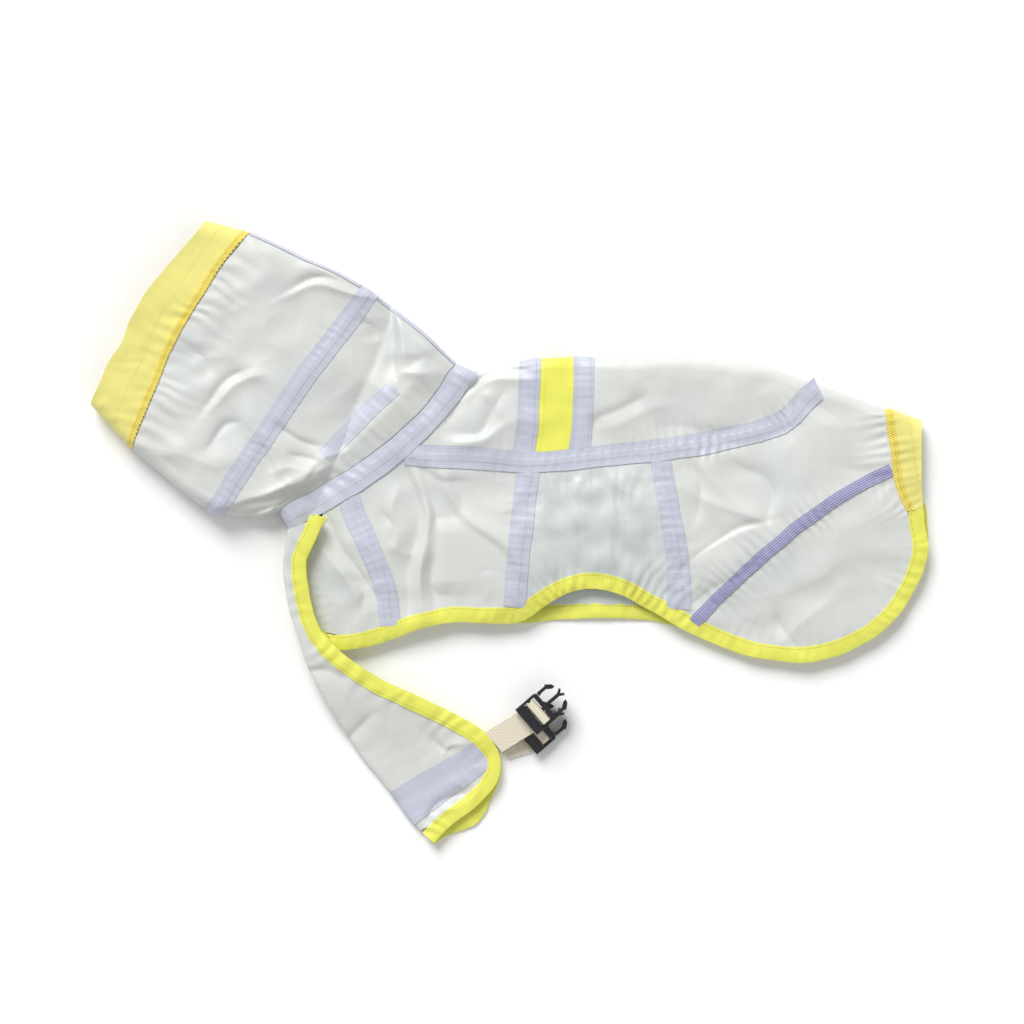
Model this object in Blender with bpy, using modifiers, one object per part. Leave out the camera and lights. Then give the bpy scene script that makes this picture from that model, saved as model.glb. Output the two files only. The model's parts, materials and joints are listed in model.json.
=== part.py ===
"""Hooded dog raincoat, turned inside out and folded flat along its spine.

Units are metres, +Z up. The coat lies on its side on the floor at z = 0. The near half
of the coat faces up and the far half faces the floor. The hood points to -X and the
tail to +X; the spine fold runs along the +Y side and the hems along the -Y side.
"""

import math

import bmesh
import bpy
from mathutils import Vector

# Overall sizes of the coat as it lies. The pattern points below are drawn at the pattern
# size and graded to these two.
COAT_LENGTH = 0.783
COAT_DEPTH = 0.584
PATTERN_LENGTH = 0.783
PATTERN_DEPTH = 0.584

# Heights between the two layers of cloth, measured middle to middle.
BODY_LOFT = 0.0196
HEM_LOFT = 0.0125
HOOD_LOFT = 0.0270
BIB_LOFT = 0.0070
FAR_HEIGHT = 0.0020

# Cloth, tapes and bindings.
CLOTH_THICKNESS = 0.0008
BAND_THICKNESS = 0.0014
TAPE_THICKNESS = 0.0004
TAPE_WIDTH = 0.0200
DART_TAPE_WIDTH = 0.0150
STRIPE_WIDTH = 0.0500
OVERLOCK_WIDTH = 0.0065
BINDING_WIDTH = 0.0120
BINDING_THICKNESS = 0.0024
ELASTIC_WIDTH = 0.0110
ELASTIC_THICKNESS = 0.0010

# Clearances.
SEAM_GAP = 0.0005
LAYER_GAP = 0.0005
NECK_GAP = 0.0009
HEM_GAP = 0.0010
NECK_TO_HEM = 0.0047
HINGE_RISE = 0.0050

# Webbing and buckles.
WEBBING_WIDTH = 0.0250
WEBBING_THICKNESS = 0.0016
BUCKLE_WIDTH = 0.0310
BUCKLE_THICKNESS = 0.0078
BUCKLE_RAIL = 0.0026
BUCKLE_ENTRY = 0.0090
BUCKLE_BAR = 0.0030
BUCKLE_END = 0.0043
BUCKLE_SLOT = 0.0042
BUCKLE_FRAME = BUCKLE_ENTRY + BUCKLE_BAR + BUCKLE_END + 2 * BUCKLE_SLOT
PRONG_LENGTH = 0.0200
ARM_WIDTH = 0.0042
ARM_GAP = 0.0005
ARM_INSET = 0.0012
ARM_STEP = 0.0014
PRONG_STEM = 0.0016
PRONG_HEAD = 0.0042
PRONG_NECK = 0.0042
BUCKLE_CORNER = 0.0020
SOCKET_LENGTH = 0.0300
SOCKET_WALL = 0.0012
SOCKET_THICKNESS = 0.0076
TAB_LENGTH = 0.0220
STRAP_ANGLE = math.radians(41.0)
FAR_STRAP_SHIFT = -0.0190

FRONT_COLUMNS = 5
ARC_STEPS = 10
FLAT_STEPS = 8
SPINE_ARC_STEPS = 6

GRADE_X = COAT_LENGTH / PATTERN_LENGTH
GRADE_Y = COAT_DEPTH / PATTERN_DEPTH


def graded(*points):
    """Pattern points, in metres, graded to the overall size."""
    return [Vector((x * GRADE_X, y * GRADE_Y)) for x, y in points]


class Seam:
    """A smooth plan curve through a few points, read by its share of arc length."""

    def __init__(self, points, smooth=True):
        self.line = smooth_line(points) if smooth else list(points)
        self.reach = [0.0]
        for before, after in zip(self.line, self.line[1:]):
            self.reach.append(self.reach[-1] + (after - before).length)
        self.length = self.reach[-1]

    def at(self, share):
        wanted = min(max(share, 0.0), 1.0) * self.length
        for i in range(len(self.line) - 1):
            if wanted <= self.reach[i + 1] or i == len(self.line) - 2:
                step = self.reach[i + 1] - self.reach[i]
                part = (wanted - self.reach[i]) / step if step else 0.0
                return self.line[i].lerp(self.line[i + 1], part)

    def side(self, share):
        """The unit vector to the left of the direction of travel."""
        ahead = self.at(share + 0.004) - self.at(share - 0.004)
        return Vector((-ahead.y, ahead.x)).normalized()

    def points(self, start, end, count):
        return [self.at(start + (end - start) * i / count) for i in range(count + 1)]

    def inset(self, distance, count):
        """The same curve moved to its left by a distance."""
        shares = [i / count for i in range(count + 1)]
        return Seam([self.at(s) + self.side(s) * distance for s in shares], smooth=False)

    def share_at_x(self, x, after=0.0):
        """The first share past a given one where the curve reaches x."""
        steps = 2000
        first = int(after * steps)
        sign = self.at(after).x < x
        for i in range(first, steps + 1):
            if (self.at(i / steps).x < x) != sign:
                return i / steps
        return 1.0


def smooth_line(points, steps=8):
    """A Catmull-Rom line through the points."""
    padded = [points[0] * 2 - points[1]] + list(points) + [points[-1] * 2 - points[-2]]
    line = []
    for i in range(1, len(padded) - 2):
        before, start, end, after = padded[i - 1 : i + 3]
        for step in range(steps):
            t = step / steps
            line.append(
                0.5
                * (
                    2 * start
                    + (end - before) * t
                    + (2 * before - 5 * start + 4 * end - after) * t**2
                    + (3 * start - before - 3 * end + after) * t**3
                )
            )
    return line + [Vector(points[-1])]


def ease(share):
    share = min(max(share, 0.0), 1.0)
    return share * share * (3 - 2 * share)


def bowed(outline, radius, count):
    """The level run of a ring, from its top round to its bottom round, bowed in plan."""
    top, middle, bottom = outline
    start = top + (middle - top).normalized() * radius
    end = bottom + (middle - bottom).normalized() * radius
    run = []
    for i in range(count + 1):
        t = i / count
        run.append(
            start * (1 - t) * (1 - 2 * t) + middle * 4 * t * (1 - t) + end * t * (2 * t - 1)
        )
    return run


SPINE_RADIUS = BODY_LOFT / 2
# How far other tapes stay from the neck seam, and the shares tried to find where they end.
NECK_CLEAR = TAPE_WIDTH + 3 * SEAM_GAP
FORWARDS = [i / 400 for i in range(200)]
BACKWARDS = [1 - i / 400 for i in range(200)]
HOOD_RADIUS = HOOD_LOFT / 2

# Pattern curves, drawn on the coat as it lies.
NECK = graded((-0.048, 0.158), (-0.107, 0.091), (-0.213, 0.022))
NECK_LINE = Seam(bowed(NECK, SPINE_RADIUS, 32), smooth=False)
NECK_CORNER = 0.52
SPINE = Seam(
    graded(
        (-0.048, 0.158),
        (-0.032, 0.151),
        (-0.006, 0.155),
        (0.022, 0.163),
        (0.104, 0.165),
        (0.206, 0.162),
        (0.260, 0.150),
        (0.295, 0.137),
        (0.350, 0.116),
        (0.386, 0.107),
    )
)
SIDE_SEAM = Seam(
    [NECK_LINE.at(NECK_CORNER)]
    + graded(
        (-0.093, 0.074),
        (-0.027, 0.070),
        (0.020, 0.068),
        (0.078, 0.072),
        (0.150, 0.080),
        (0.213, 0.090),
        (0.252, 0.103),
        (0.270, 0.118),
        (0.279, 0.129),
    )
)
# The hems start just behind the neck's tape, whatever its width.
NECK_CHORD = NECK[2] - NECK[0]
FROM_NECK = Vector((-NECK_CHORD.y, NECK_CHORD.x)).normalized()
HEM_START = graded((-0.182, 0.0155))[0]
HEM_START += FROM_NECK * (TAPE_WIDTH + NECK_TO_HEM - (HEM_START - NECK[2]).dot(FROM_NECK))
NEAR_HEM = Seam(
    [HEM_START]
    + graded(
        (-0.197, -0.024),
        (-0.199, -0.062),
        (-0.190, -0.092),
        (-0.170, -0.108),
        (-0.132, -0.105),
        (-0.093, -0.091),
        (-0.054, -0.082),
        (0.004, -0.083),
        (0.029, -0.070),
        (0.054, -0.055),
        (0.079, -0.049),
        (0.104, -0.055),
        (0.132, -0.070),
        (0.160, -0.087),
        (0.188, -0.099),
        (0.236, -0.116),
        (0.288, -0.118),
        (0.337, -0.099),
        (0.374, -0.061),
        (0.390, -0.020),
        (0.388, 0.010),
    )
)
FAR_HEM = Seam(
    [HEM_START]
    + graded(
        (-0.197, -0.024),
        (-0.199, -0.062),
        (-0.190, -0.092),
        (-0.170, -0.108),
        (-0.132, -0.105),
        (-0.093, -0.091),
        (-0.054, -0.082),
        (0.004, -0.083),
        (0.066, -0.078),
        (0.120, -0.079),
        (0.160, -0.087),
        (0.188, -0.099),
        (0.236, -0.116),
        (0.288, -0.118),
        (0.337, -0.099),
        (0.374, -0.061),
        (0.390, -0.020),
        (0.388, 0.010),
    )
)
CUFF_INNER = Seam(
    graded((0.350, 0.116), (0.354, 0.088), (0.359, 0.050), (0.367, 0.031), (0.3745, 0.017))
)
CUFF_OUTER = Seam(graded((0.386, 0.107), (0.385, 0.060), (0.387, 0.017)))

# Where the seams across the coat meet the spine, the side seam and the hem, by their x.
STRIPE_TOP_X = 0.0440 * GRADE_X
STRIPE_FOOT_X = 0.0380 * GRADE_X
FLANK_FRONT_TOP_X = 0.0185 * GRADE_X
FLANK_FRONT_HEM_X = 0.0050 * GRADE_X
FLANK_REAR_TOP_X = 0.1400 * GRADE_X
FLANK_REAR_HEM_X = 0.1590 * GRADE_X
SHOULDER_HEM_X = -0.1100 * GRADE_X
SHOULDER_NECK_X = -0.1560 * GRADE_X
ARM_NECK_X = -0.1730 * GRADE_X

ELASTIC = Seam(graded((0.352, 0.058), (0.312, 0.037), (0.262, 0.004), (0.224, -0.030), (0.190, -0.074)))
SHOULDER_BEND = graded((-0.146, 0.028), (-0.126, -0.020), (-0.113, -0.052))
FLANK_REAR_BEND = graded((0.151, 0.016), (0.158, -0.034))

# The hood, front to back: its outline on the crown side, in the middle and at the throat.
HOOD_FRONT = graded((-0.281, 0.292), (-0.341, 0.216), (-0.388, 0.121))
HOOD_BAND = graded((-0.241, 0.279), (-0.302, 0.190), (-0.349, 0.079))
HOOD_SEAM = graded((-0.128, 0.226), (-0.193, 0.139), (-0.274, 0.019))
HOOD_BRIDGE = graded((-0.176, 0.252), (-0.243, 0.167), (-0.306, 0.043))
HOOD_NAPE = graded((-0.068, 0.178), (-0.122, 0.106), (-0.229, 0.016))
DART = graded((-0.108, 0.137), (-0.171, 0.074))

# The chest bib: pairs of points on its centre fold and on the inner edge of its binding.
BIB_STATIONS = (
    ((-0.205, 0.006), (-0.184, 0.014)),
    ((-0.209, -0.024), (-0.199, -0.021)),
    ((-0.206, -0.060), (-0.196, -0.060)),
    ((-0.197, -0.094), (-0.184, -0.096)),
    ((-0.185, -0.126), (-0.157, -0.124)),
    ((-0.170, -0.156), (-0.119, -0.148)),
    ((-0.150, -0.190), (-0.076, -0.168)),
    ((-0.132, -0.215), (-0.051, -0.180)),
    ((-0.110, -0.241), (-0.032, -0.192)),
    ((-0.098, -0.257), (-0.021, -0.206)),
    ((-0.0870, -0.2710), (-0.0190, -0.2180)),
    ((-0.0860, -0.2724), (-0.0265, -0.2320)),
    ((-0.0850, -0.2738), (-0.0430, -0.2480)),
    ((-0.0840, -0.2752), (-0.0600, -0.2615)),
    ((-0.0834, -0.2764), (-0.0725, -0.2730)),
)
BIB_TIP = (-0.0790, -0.2800)
BIB_TAPE_FIRST = 8
BIB_TAPE_LAST = 10
BIB_REST_Y = -0.215 * GRADE_Y
STRAP_END = graded((0.0165, -0.1745))[0]
NEAR_STRAP_SHARE = 0.708
FAR_STRAP_SHARE = 0.730
NEAR_SOCKET_PLACE, FAR_SOCKET_PLACE = graded((-0.030, -0.020), (0.075, -0.012))

SLOPE_LOW_Y = -0.118 * GRADE_Y
SLOPE_HIGH_Y = 0.015 * GRADE_Y
TAPE_LIFT = CLOTH_THICKNESS / 2 + LAYER_GAP + TAPE_THICKNESS / 2
ELASTIC_LIFT = CLOTH_THICKNESS / 2 + LAYER_GAP + ELASTIC_THICKNESS / 2
HINGE_HEIGHT = FAR_HEIGHT + HOOD_LOFT + HINGE_RISE


def near_height(point):
    """Middle of the near cloth: level near the spine, easing down towards the hem."""
    share = ease((point.y - SLOPE_LOW_Y) / (SLOPE_HIGH_Y - SLOPE_LOW_Y))
    return FAR_HEIGHT + HEM_LOFT + (BODY_LOFT - HEM_LOFT) * share


def far_height(_point):
    return FAR_HEIGHT


def collection(name):
    found = bpy.data.collections.new(name)
    bpy.context.scene.collection.children.link(found)
    return found


def material(name, colour, roughness, metallic=0.0):
    found = bpy.data.materials.new(name)
    found.use_nodes = True
    shader = found.node_tree.nodes["Principled BSDF"]
    shader.inputs["Base Color"].default_value = (*colour, 1.0)
    shader.inputs["Roughness"].default_value = roughness
    shader.inputs["Metallic"].default_value = metallic
    return found


def new_object(name, mesh, look):
    made = bpy.data.objects.new(name, mesh)
    mesh.materials.append(look)
    COAT.objects.link(made)
    return made


def grid_object(name, rows, thickness, look, closed=False):
    """A sheet lofted through rows of points, thickened evenly to both sides.

    Each row holds as many points as the next. A closed sheet joins the end of each row
    to its start.
    """
    mesh = bpy.data.meshes.new(name)
    net = bmesh.new()
    verts = [[net.verts.new(point) for point in row] for row in rows]
    across = len(rows[0])
    last = across if closed else across - 1
    for upper, lower in zip(verts, verts[1:]):
        for i in range(last):
            j = (i + 1) % across
            net.faces.new((upper[i], upper[j], lower[j], lower[i]))
    bmesh.ops.recalc_face_normals(net, faces=net.faces)
    net.to_mesh(mesh)
    net.free()
    mesh.shade_smooth()
    made = new_object(name, mesh, look)
    shell = made.modifiers.new("thickness", "SOLIDIFY")
    shell.thickness = thickness
    shell.offset = 0.0
    return made


def lifted(point, height, lift=0.0):
    """A plan point on the near or far cloth, moved outwards by a lift."""
    outwards = 1 if height is near_height else -1
    return Vector((point.x, point.y, height(point) + outwards * lift))


def patch(name, top, bottom, left, right, height, look, rows=7, spine_top=False):
    """A panel filling four plan boundaries, inset by half a seam gap all round.

    top and bottom run the same way and hold as many points as each other; left and
    right run from top to bottom. With spine_top, the rows near the top follow the
    quarter round of the spine fold.
    """
    count = len(top) - 1
    left, right = Seam(left), Seam(right)
    grid = []
    for j in range(count + 1):
        gap = SEAM_GAP / 2
        across = (right.at(0.5) - left.at(0.5)).length
        s = min(max(j / count, gap / across), 1 - gap / across)
        first = point_on(top, s)
        last = point_on(bottom, s)
        down = (last - first).length
        shares = [gap / down + (1 - 2 * gap / down) * i / rows for i in range(rows + 1)]
        if spine_top:
            turn = [1 - math.cos(math.radians(a)) for a in (0, 30, 60, 90)]
            near = [SPINE_RADIUS * t / down + (gap / down if t == 0 else 0) for t in turn]
            shares = near + [
                near[-1] + (1 - gap / down - near[-1]) * (i + 1) / rows for i in range(rows)
            ]
        column = []
        for t in shares:
            flat = (
                first * (1 - t)
                + last * t
                + left.at(t) * (1 - s)
                + right.at(t) * s
                - left.at(0) * (1 - s) * (1 - t)
                - right.at(0) * s * (1 - t)
                - left.at(1) * (1 - s) * t
                - right.at(1) * s * t
            )
            column.append(flat)
        grid.append(column)
    if spine_top:
        placed = [[on_spine_round(p, height) for p in column] for column in grid]
    else:
        placed = [[lifted(p, height) for p in column] for column in grid]
    return grid_object(name, placed, CLOTH_THICKNESS, look)


def point_on(points, share):
    place = share * (len(points) - 1)
    i = min(int(place), len(points) - 2)
    return points[i].lerp(points[i + 1], place - i)


def spine_distance(point):
    nearest = 1.0
    for start, end in zip(SPINE.line, SPINE.line[1:]):
        run = end - start
        share = min(max((point - start).dot(run) / run.length_squared, 0.0), 1.0)
        nearest = min(nearest, (point - start - run * share).length)
    return nearest


def on_spine_round(point, height):
    """A plan point on the cloth, bent round the spine fold where it is close to it."""
    inwards = SPINE_RADIUS - spine_distance(point)
    if inwards <= 0:
        return lifted(point, height)
    rise = math.sqrt(max(SPINE_RADIUS**2 - inwards**2, (SEAM_GAP / 2) ** 2))
    outwards = 1 if height is near_height else -1
    return Vector((point.x, point.y, FAR_HEIGHT + SPINE_RADIUS + outwards * rise))


def spine_section(foot, crest, lift=0.0, flat_steps=4):
    """Points from a foot on the near cloth, over the spine fold, to the far cloth."""
    inwards = (foot - crest).normalized()
    centre = crest + inwards * SPINE_RADIUS
    near = [foot.lerp(centre, i / flat_steps) for i in range(flat_steps)]
    return wrapped(near, centre, inwards, lift)


def wrapped(near, centre, inwards, lift=0.0):
    """Near points, a half-round about the spine and the same points on the far cloth."""
    section = [lifted(p, near_height, lift) for p in near]
    radius = SPINE_RADIUS + lift
    for step in range(SPINE_ARC_STEPS + 1):
        turn = math.pi / 2 - math.pi * step / SPINE_ARC_STEPS
        place = centre - inwards * radius * math.cos(turn)
        section.append(Vector((place.x, place.y, FAR_HEIGHT + SPINE_RADIUS + radius * math.sin(turn))))
    return section + [lifted(p, far_height, lift) for p in reversed(near)]


def ring(outline, radius, base=FAR_HEIGHT, lift=0.0):
    """A flattened ring round the hood or neck: two level runs and two half-rounds."""
    top, middle, bottom = outline
    down = (middle - top).normalized()
    up = (middle - bottom).normalized()
    start, *level, end = bowed(outline, radius, FLAT_STEPS)
    centre = base + radius
    grown = radius + lift
    points = [Vector((p.x, p.y, centre + grown)) for p in level]
    points += half_round(end, -up, centre, grown, 1)
    points += [Vector((p.x, p.y, centre - grown)) for p in reversed(level)]
    points += half_round(start, -down, centre, grown, -1)
    return points


def half_round(centre, outwards, height, radius, sense):
    points = []
    for step in range(ARC_STEPS + 1):
        turn = sense * (math.pi / 2 - math.pi * step / ARC_STEPS)
        place = centre + outwards * radius * math.cos(turn)
        points.append(Vector((place.x, place.y, height + radius * math.sin(turn))))
    return points


def blend_outline(first, last, share):
    return [a.lerp(b, share) for a, b in zip(first, last)]


def shift_outline(outline, towards, distance):
    """An outline moved by a distance towards another, point by point."""
    return [a + (b - a).normalized() * distance for a, b in zip(outline, towards)]


def strip(name, line, width, lift, thickness, height, look, steps=8, across=2):
    """A flat tape along a seam, centred on it."""
    rows = []
    for i in range(steps + 1):
        share = i / steps
        middle, side = line.at(share), line.side(share)
        row = []
        for j in range(across + 1):
            row.append(lifted(middle + side * width * (j / across - 0.5), height, lift))
        rows.append(row)
    return grid_object(name, rows, thickness, look)


def binding(name, edge, height, look, steps, thickness=BINDING_THICKNESS):
    """A bound edge: a folded strip just inside the outline of the cloth."""
    middle = edge.inset(BINDING_WIDTH / 2, 4 * steps)
    return strip(name, middle, BINDING_WIDTH, 0.0, thickness, height, look, steps, 1)


def binding_height(_point):
    return BINDING_THICKNESS / 2


def box(name, low, high, look, bevel=0.0):
    """A block between two corners, in the frame of the piece it belongs to."""
    mesh = bpy.data.meshes.new(name)
    net = bmesh.new()
    bmesh.ops.create_cube(net, size=1.0)
    size = Vector(high) - Vector(low)
    bmesh.ops.scale(net, vec=size, verts=net.verts)
    bmesh.ops.translate(net, vec=(Vector(high) + Vector(low)) / 2, verts=net.verts)
    net.to_mesh(mesh)
    net.free()
    made = new_object(name, mesh, look)
    if bevel:
        edge = made.modifiers.new("edges", "BEVEL")
        edge.width = bevel
        edge.segments = 1
    return made


def empty(name, place, turn=0.0):
    made = bpy.data.objects.new(name, None)
    made.location = place
    made.rotation_euler = (0.0, 0.0, turn)
    COAT.objects.link(made)
    return made


def hang_on(parent, pieces):
    """Parents pieces to an empty without moving them."""
    bpy.context.view_layer.update()
    for piece in pieces:
        piece.parent = parent
        piece.matrix_parent_inverse = parent.matrix_world.inverted()


def flat_outline(name, outlines, thickness, look, bevel=0.0003):
    """A flat plate from closed 2D outlines; inner outlines become windows."""
    data = bpy.data.curves.new(name, "CURVE")
    data.dimensions = "2D"
    data.fill_mode = "BOTH"
    data.extrude = thickness / 2 - bevel
    data.bevel_depth = bevel
    data.bevel_resolution = 0
    data.offset = -bevel
    for points in outlines:
        spline = data.splines.new("POLY")
        spline.points.add(len(points) - 1)
        spline.use_cyclic_u = True
        for spot, (x, y) in zip(spline.points, points):
            spot.co = (x, y, 0.0, 1.0)
    data.materials.append(look)
    made = bpy.data.objects.new(name, data)
    COAT.objects.link(made)
    return made


# ---------------------------------------------------------------------------- pieces


def make_hood():
    """Hem band, overlocked edge, two cloth tubes and their tapes."""
    look = LOOKS
    band_base = BAND_THICKNESS / 2
    band_radius = HOOD_RADIUS + (FAR_HEIGHT - band_base) / 2
    edge_rear = shift_outline(HOOD_BAND, HOOD_FRONT, SEAM_GAP)
    edge_front = shift_outline(edge_rear, HOOD_FRONT, OVERLOCK_WIDTH)
    band_rear = shift_outline(edge_front, HOOD_FRONT, SEAM_GAP)
    rows = [
        ring(blend_outline(HOOD_FRONT, band_rear, share), band_radius, band_base)
        for share in (0.0, 0.5, 1.0)
    ]
    pieces = [grid_object("hem_band", rows, BAND_THICKNESS, look["softshell"], closed=True)]
    rows = [ring(outline, band_radius, band_base) for outline in (edge_front, edge_rear)]
    pieces.append(
        grid_object("hem_overlock_edge", rows, BAND_THICKNESS, look["overlock"], closed=True)
    )

    front = [HOOD_BAND, blend_outline(HOOD_BAND, HOOD_BRIDGE, 0.5), HOOD_BRIDGE]
    seam_front = shift_outline(HOOD_SEAM, HOOD_BRIDGE, SEAM_GAP / 2)
    tape_front = shift_outline(HOOD_SEAM, HOOD_BRIDGE, TAPE_WIDTH / 2)
    rows = [ring(outline, HOOD_RADIUS) for outline in front + [tape_front, seam_front]]
    pieces.append(grid_object("hood_front_panel", rows, CLOTH_THICKNESS, look["cloth"], closed=True))

    seam_rear = shift_outline(HOOD_SEAM, HOOD_NAPE, SEAM_GAP / 2)
    tape_rear = shift_outline(HOOD_SEAM, HOOD_NAPE, TAPE_WIDTH / 2)
    neck_end = shift_outline(NECK, HOOD_NAPE, NECK_GAP)
    middle = (HOOD_RADIUS + SPINE_RADIUS) / 2
    rows = [
        ring(seam_rear, HOOD_RADIUS),
        ring(tape_rear, HOOD_RADIUS),
        ring(blend_outline(tape_rear, HOOD_NAPE, 0.5), HOOD_RADIUS),
        ring(HOOD_NAPE, HOOD_RADIUS),
        ring(blend_outline(HOOD_NAPE, neck_end, 0.5), middle),
        ring(neck_end, SPINE_RADIUS),
    ]
    pieces.append(grid_object("hood_rear_panel", rows, CLOTH_THICKNESS, look["cloth"], closed=True))

    rows = [ring(o, HOOD_RADIUS, lift=TAPE_LIFT) for o in (tape_front, seam_front, seam_rear, tape_rear)]
    pieces.append(grid_object("hood_seam_tape", rows, TAPE_THICKNESS, look["tape"], closed=True))

    # The crown tape follows the round of the crown, two arc steps to each side of it.
    crown = slice(-(ARC_STEPS // 2 + 3), -(ARC_STEPS // 2 - 2))
    gap_front = shift_outline(HOOD_SEAM, HOOD_BRIDGE, TAPE_WIDTH / 2 + SEAM_GAP)
    start = shift_outline(HOOD_BAND, HOOD_BRIDGE, SEAM_GAP)
    rows = [ring(o, HOOD_RADIUS, lift=TAPE_LIFT)[crown] for o in [start] + front[1:] + [gap_front]]
    pieces.append(grid_object("crown_tape_front", rows, TAPE_THICKNESS, look["tape"]))
    gap_rear = shift_outline(HOOD_SEAM, HOOD_NAPE, TAPE_WIDTH / 2 + SEAM_GAP)
    rows = [
        ring(gap_rear, HOOD_RADIUS, lift=TAPE_LIFT)[crown],
        ring(blend_outline(tape_rear, HOOD_NAPE, 0.5), HOOD_RADIUS, lift=TAPE_LIFT)[crown],
        ring(HOOD_NAPE, HOOD_RADIUS, lift=TAPE_LIFT)[crown],
        ring(blend_outline(HOOD_NAPE, neck_end, 0.5), middle, lift=TAPE_LIFT)[crown],
        ring(shift_outline(neck_end, HOOD_NAPE, SEAM_GAP), SPINE_RADIUS, lift=TAPE_LIFT)[crown],
    ]
    pieces.append(grid_object("crown_tape_rear", rows, TAPE_THICKNESS, look["tape"]))
    return pieces


def make_dart_tapes():
    """Short tapes over the darts of the hood's rear panel, near and far."""
    dart = Seam(DART, smooth=False)
    lift = TAPE_LIFT

    def near(_point):
        return FAR_HEIGHT + HOOD_LOFT + lift

    def far(_point):
        return FAR_HEIGHT - lift

    pieces = []
    for name, height in (("dart_tape_near", near), ("dart_tape_far", far)):
        pieces.append(
            strip(name, dart, DART_TAPE_WIDTH, 0.0, TAPE_THICKNESS, height, LOOKS["tape"], 3, 1)
        )
    return pieces


def make_neck_tape():
    """One tape right round the neck seam, over the edges of the body's panels."""
    chord = NECK[2] - NECK[0]
    across = Vector((-chord.y, chord.x)).normalized() * TAPE_WIDTH
    right = [SPINE.at(TAPE_WIDTH / SPINE.length), NECK[1] + across, NECK[2] + across]
    rows = []
    for share in (NECK_GAP / TAPE_WIDTH, 0.5, 1.0):
        rows.append(ring(blend_outline(NECK, right, share), SPINE_RADIUS, lift=TAPE_LIFT))
    return grid_object("neck_seam_tape", rows, TAPE_THICKNESS, LOOKS["tape"], closed=True)


def make_spine_pieces():
    """Yoke, reflective stripe, saddle and the two tapes: all pass over the spine."""
    spine_f = SPINE.share_at_x(STRIPE_TOP_X - STRIPE_WIDTH / 2)
    spine_r = SPINE.share_at_x(STRIPE_TOP_X + STRIPE_WIDTH / 2)
    seam_f = SIDE_SEAM.share_at_x(STRIPE_FOOT_X - STRIPE_WIDTH / 2)
    seam_r = SIDE_SEAM.share_at_x(STRIPE_FOOT_X + STRIPE_WIDTH / 2)
    half_gap = SEAM_GAP / 2

    def station(spine_share, seam_share, slide=0.0):
        crest = SPINE.at(spine_share + slide / SPINE.length)
        foot = SIDE_SEAM.at(seam_share + slide / SIDE_SEAM.length)
        foot = foot + (crest - foot).normalized() * half_gap
        return foot, crest

    half_tape = TAPE_WIDTH / 2
    first_tape = TAPE_WIDTH / SPINE.length
    corner = seam_f / FRONT_COLUMNS
    yoke = [station(first_tape, corner)]
    for i in range(2, FRONT_COLUMNS):
        share = (i - 1) / (FRONT_COLUMNS - 1)
        yoke.append(station(first_tape + (spine_f - first_tape) * share, seam_f * i / FRONT_COLUMNS))
    yoke += [station(spine_f, seam_f, -half_tape), station(spine_f, seam_f, -half_gap)]
    stripe = [
        station(spine_f, seam_f, half_gap),
        station(spine_f, seam_f, half_tape),
        station(spine_r, seam_r, -half_tape),
        station(spine_r, seam_r, -half_gap),
    ]
    spine_end = SPINE.share_at_x(SIDE_SEAM.at(1.0).x + 0.006)
    saddle = [station(spine_r, seam_r, half_gap), station(spine_r, seam_r, half_tape)]
    for i in range(1, 11):
        share = i / 10
        start_s = spine_r + half_tape / SPINE.length
        start_f = seam_r + half_tape / SIDE_SEAM.length
        saddle.append(
            station(start_s + (spine_end - start_s) * share, start_f + (1 - start_f) * share)
        )
    tape_f = [station(spine_f, seam_f, d) for d in (-half_tape, -half_gap, half_gap, half_tape)]
    tape_r = [station(spine_r, seam_r, d) for d in (-half_tape, -half_gap, half_gap, half_tape)]
    clear = TAPE_WIDTH / 2 + SEAM_GAP
    specs = (
        ("back_yoke", yoke, 0.0, 0.0, CLOTH_THICKNESS, "cloth"),
        ("reflective_stripe", stripe, 0.0, 0.0, CLOTH_THICKNESS, "neon"),
        ("saddle_panel", saddle, 0.0, 0.0, CLOTH_THICKNESS, "cloth"),
        ("stripe_tape_front", tape_f, TAPE_LIFT, clear, TAPE_THICKNESS, "tape"),
        ("stripe_tape_rear", tape_r, TAPE_LIFT, clear, TAPE_THICKNESS, "tape"),
    )
    for name, stations, lift, shorten, thickness, slot in specs:
        rows = [neck_section()] if name == "back_yoke" else []
        for foot, crest in stations:
            start = foot + (crest - foot).normalized() * shorten
            rows.append(spine_section(start, crest, lift))
        grid_object(name, rows, thickness, LOOKS[slot])


def neck_section():
    """The yoke's edge along the neck seam, from the side seam over the spine."""
    run = NECK_LINE.points(NECK_CORNER - SEAM_GAP / NECK_LINE.length, 0.0, 4)
    inwards = (NECK[1] - NECK[0]).normalized()
    return wrapped(run[:-1], run[-1], inwards)


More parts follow.
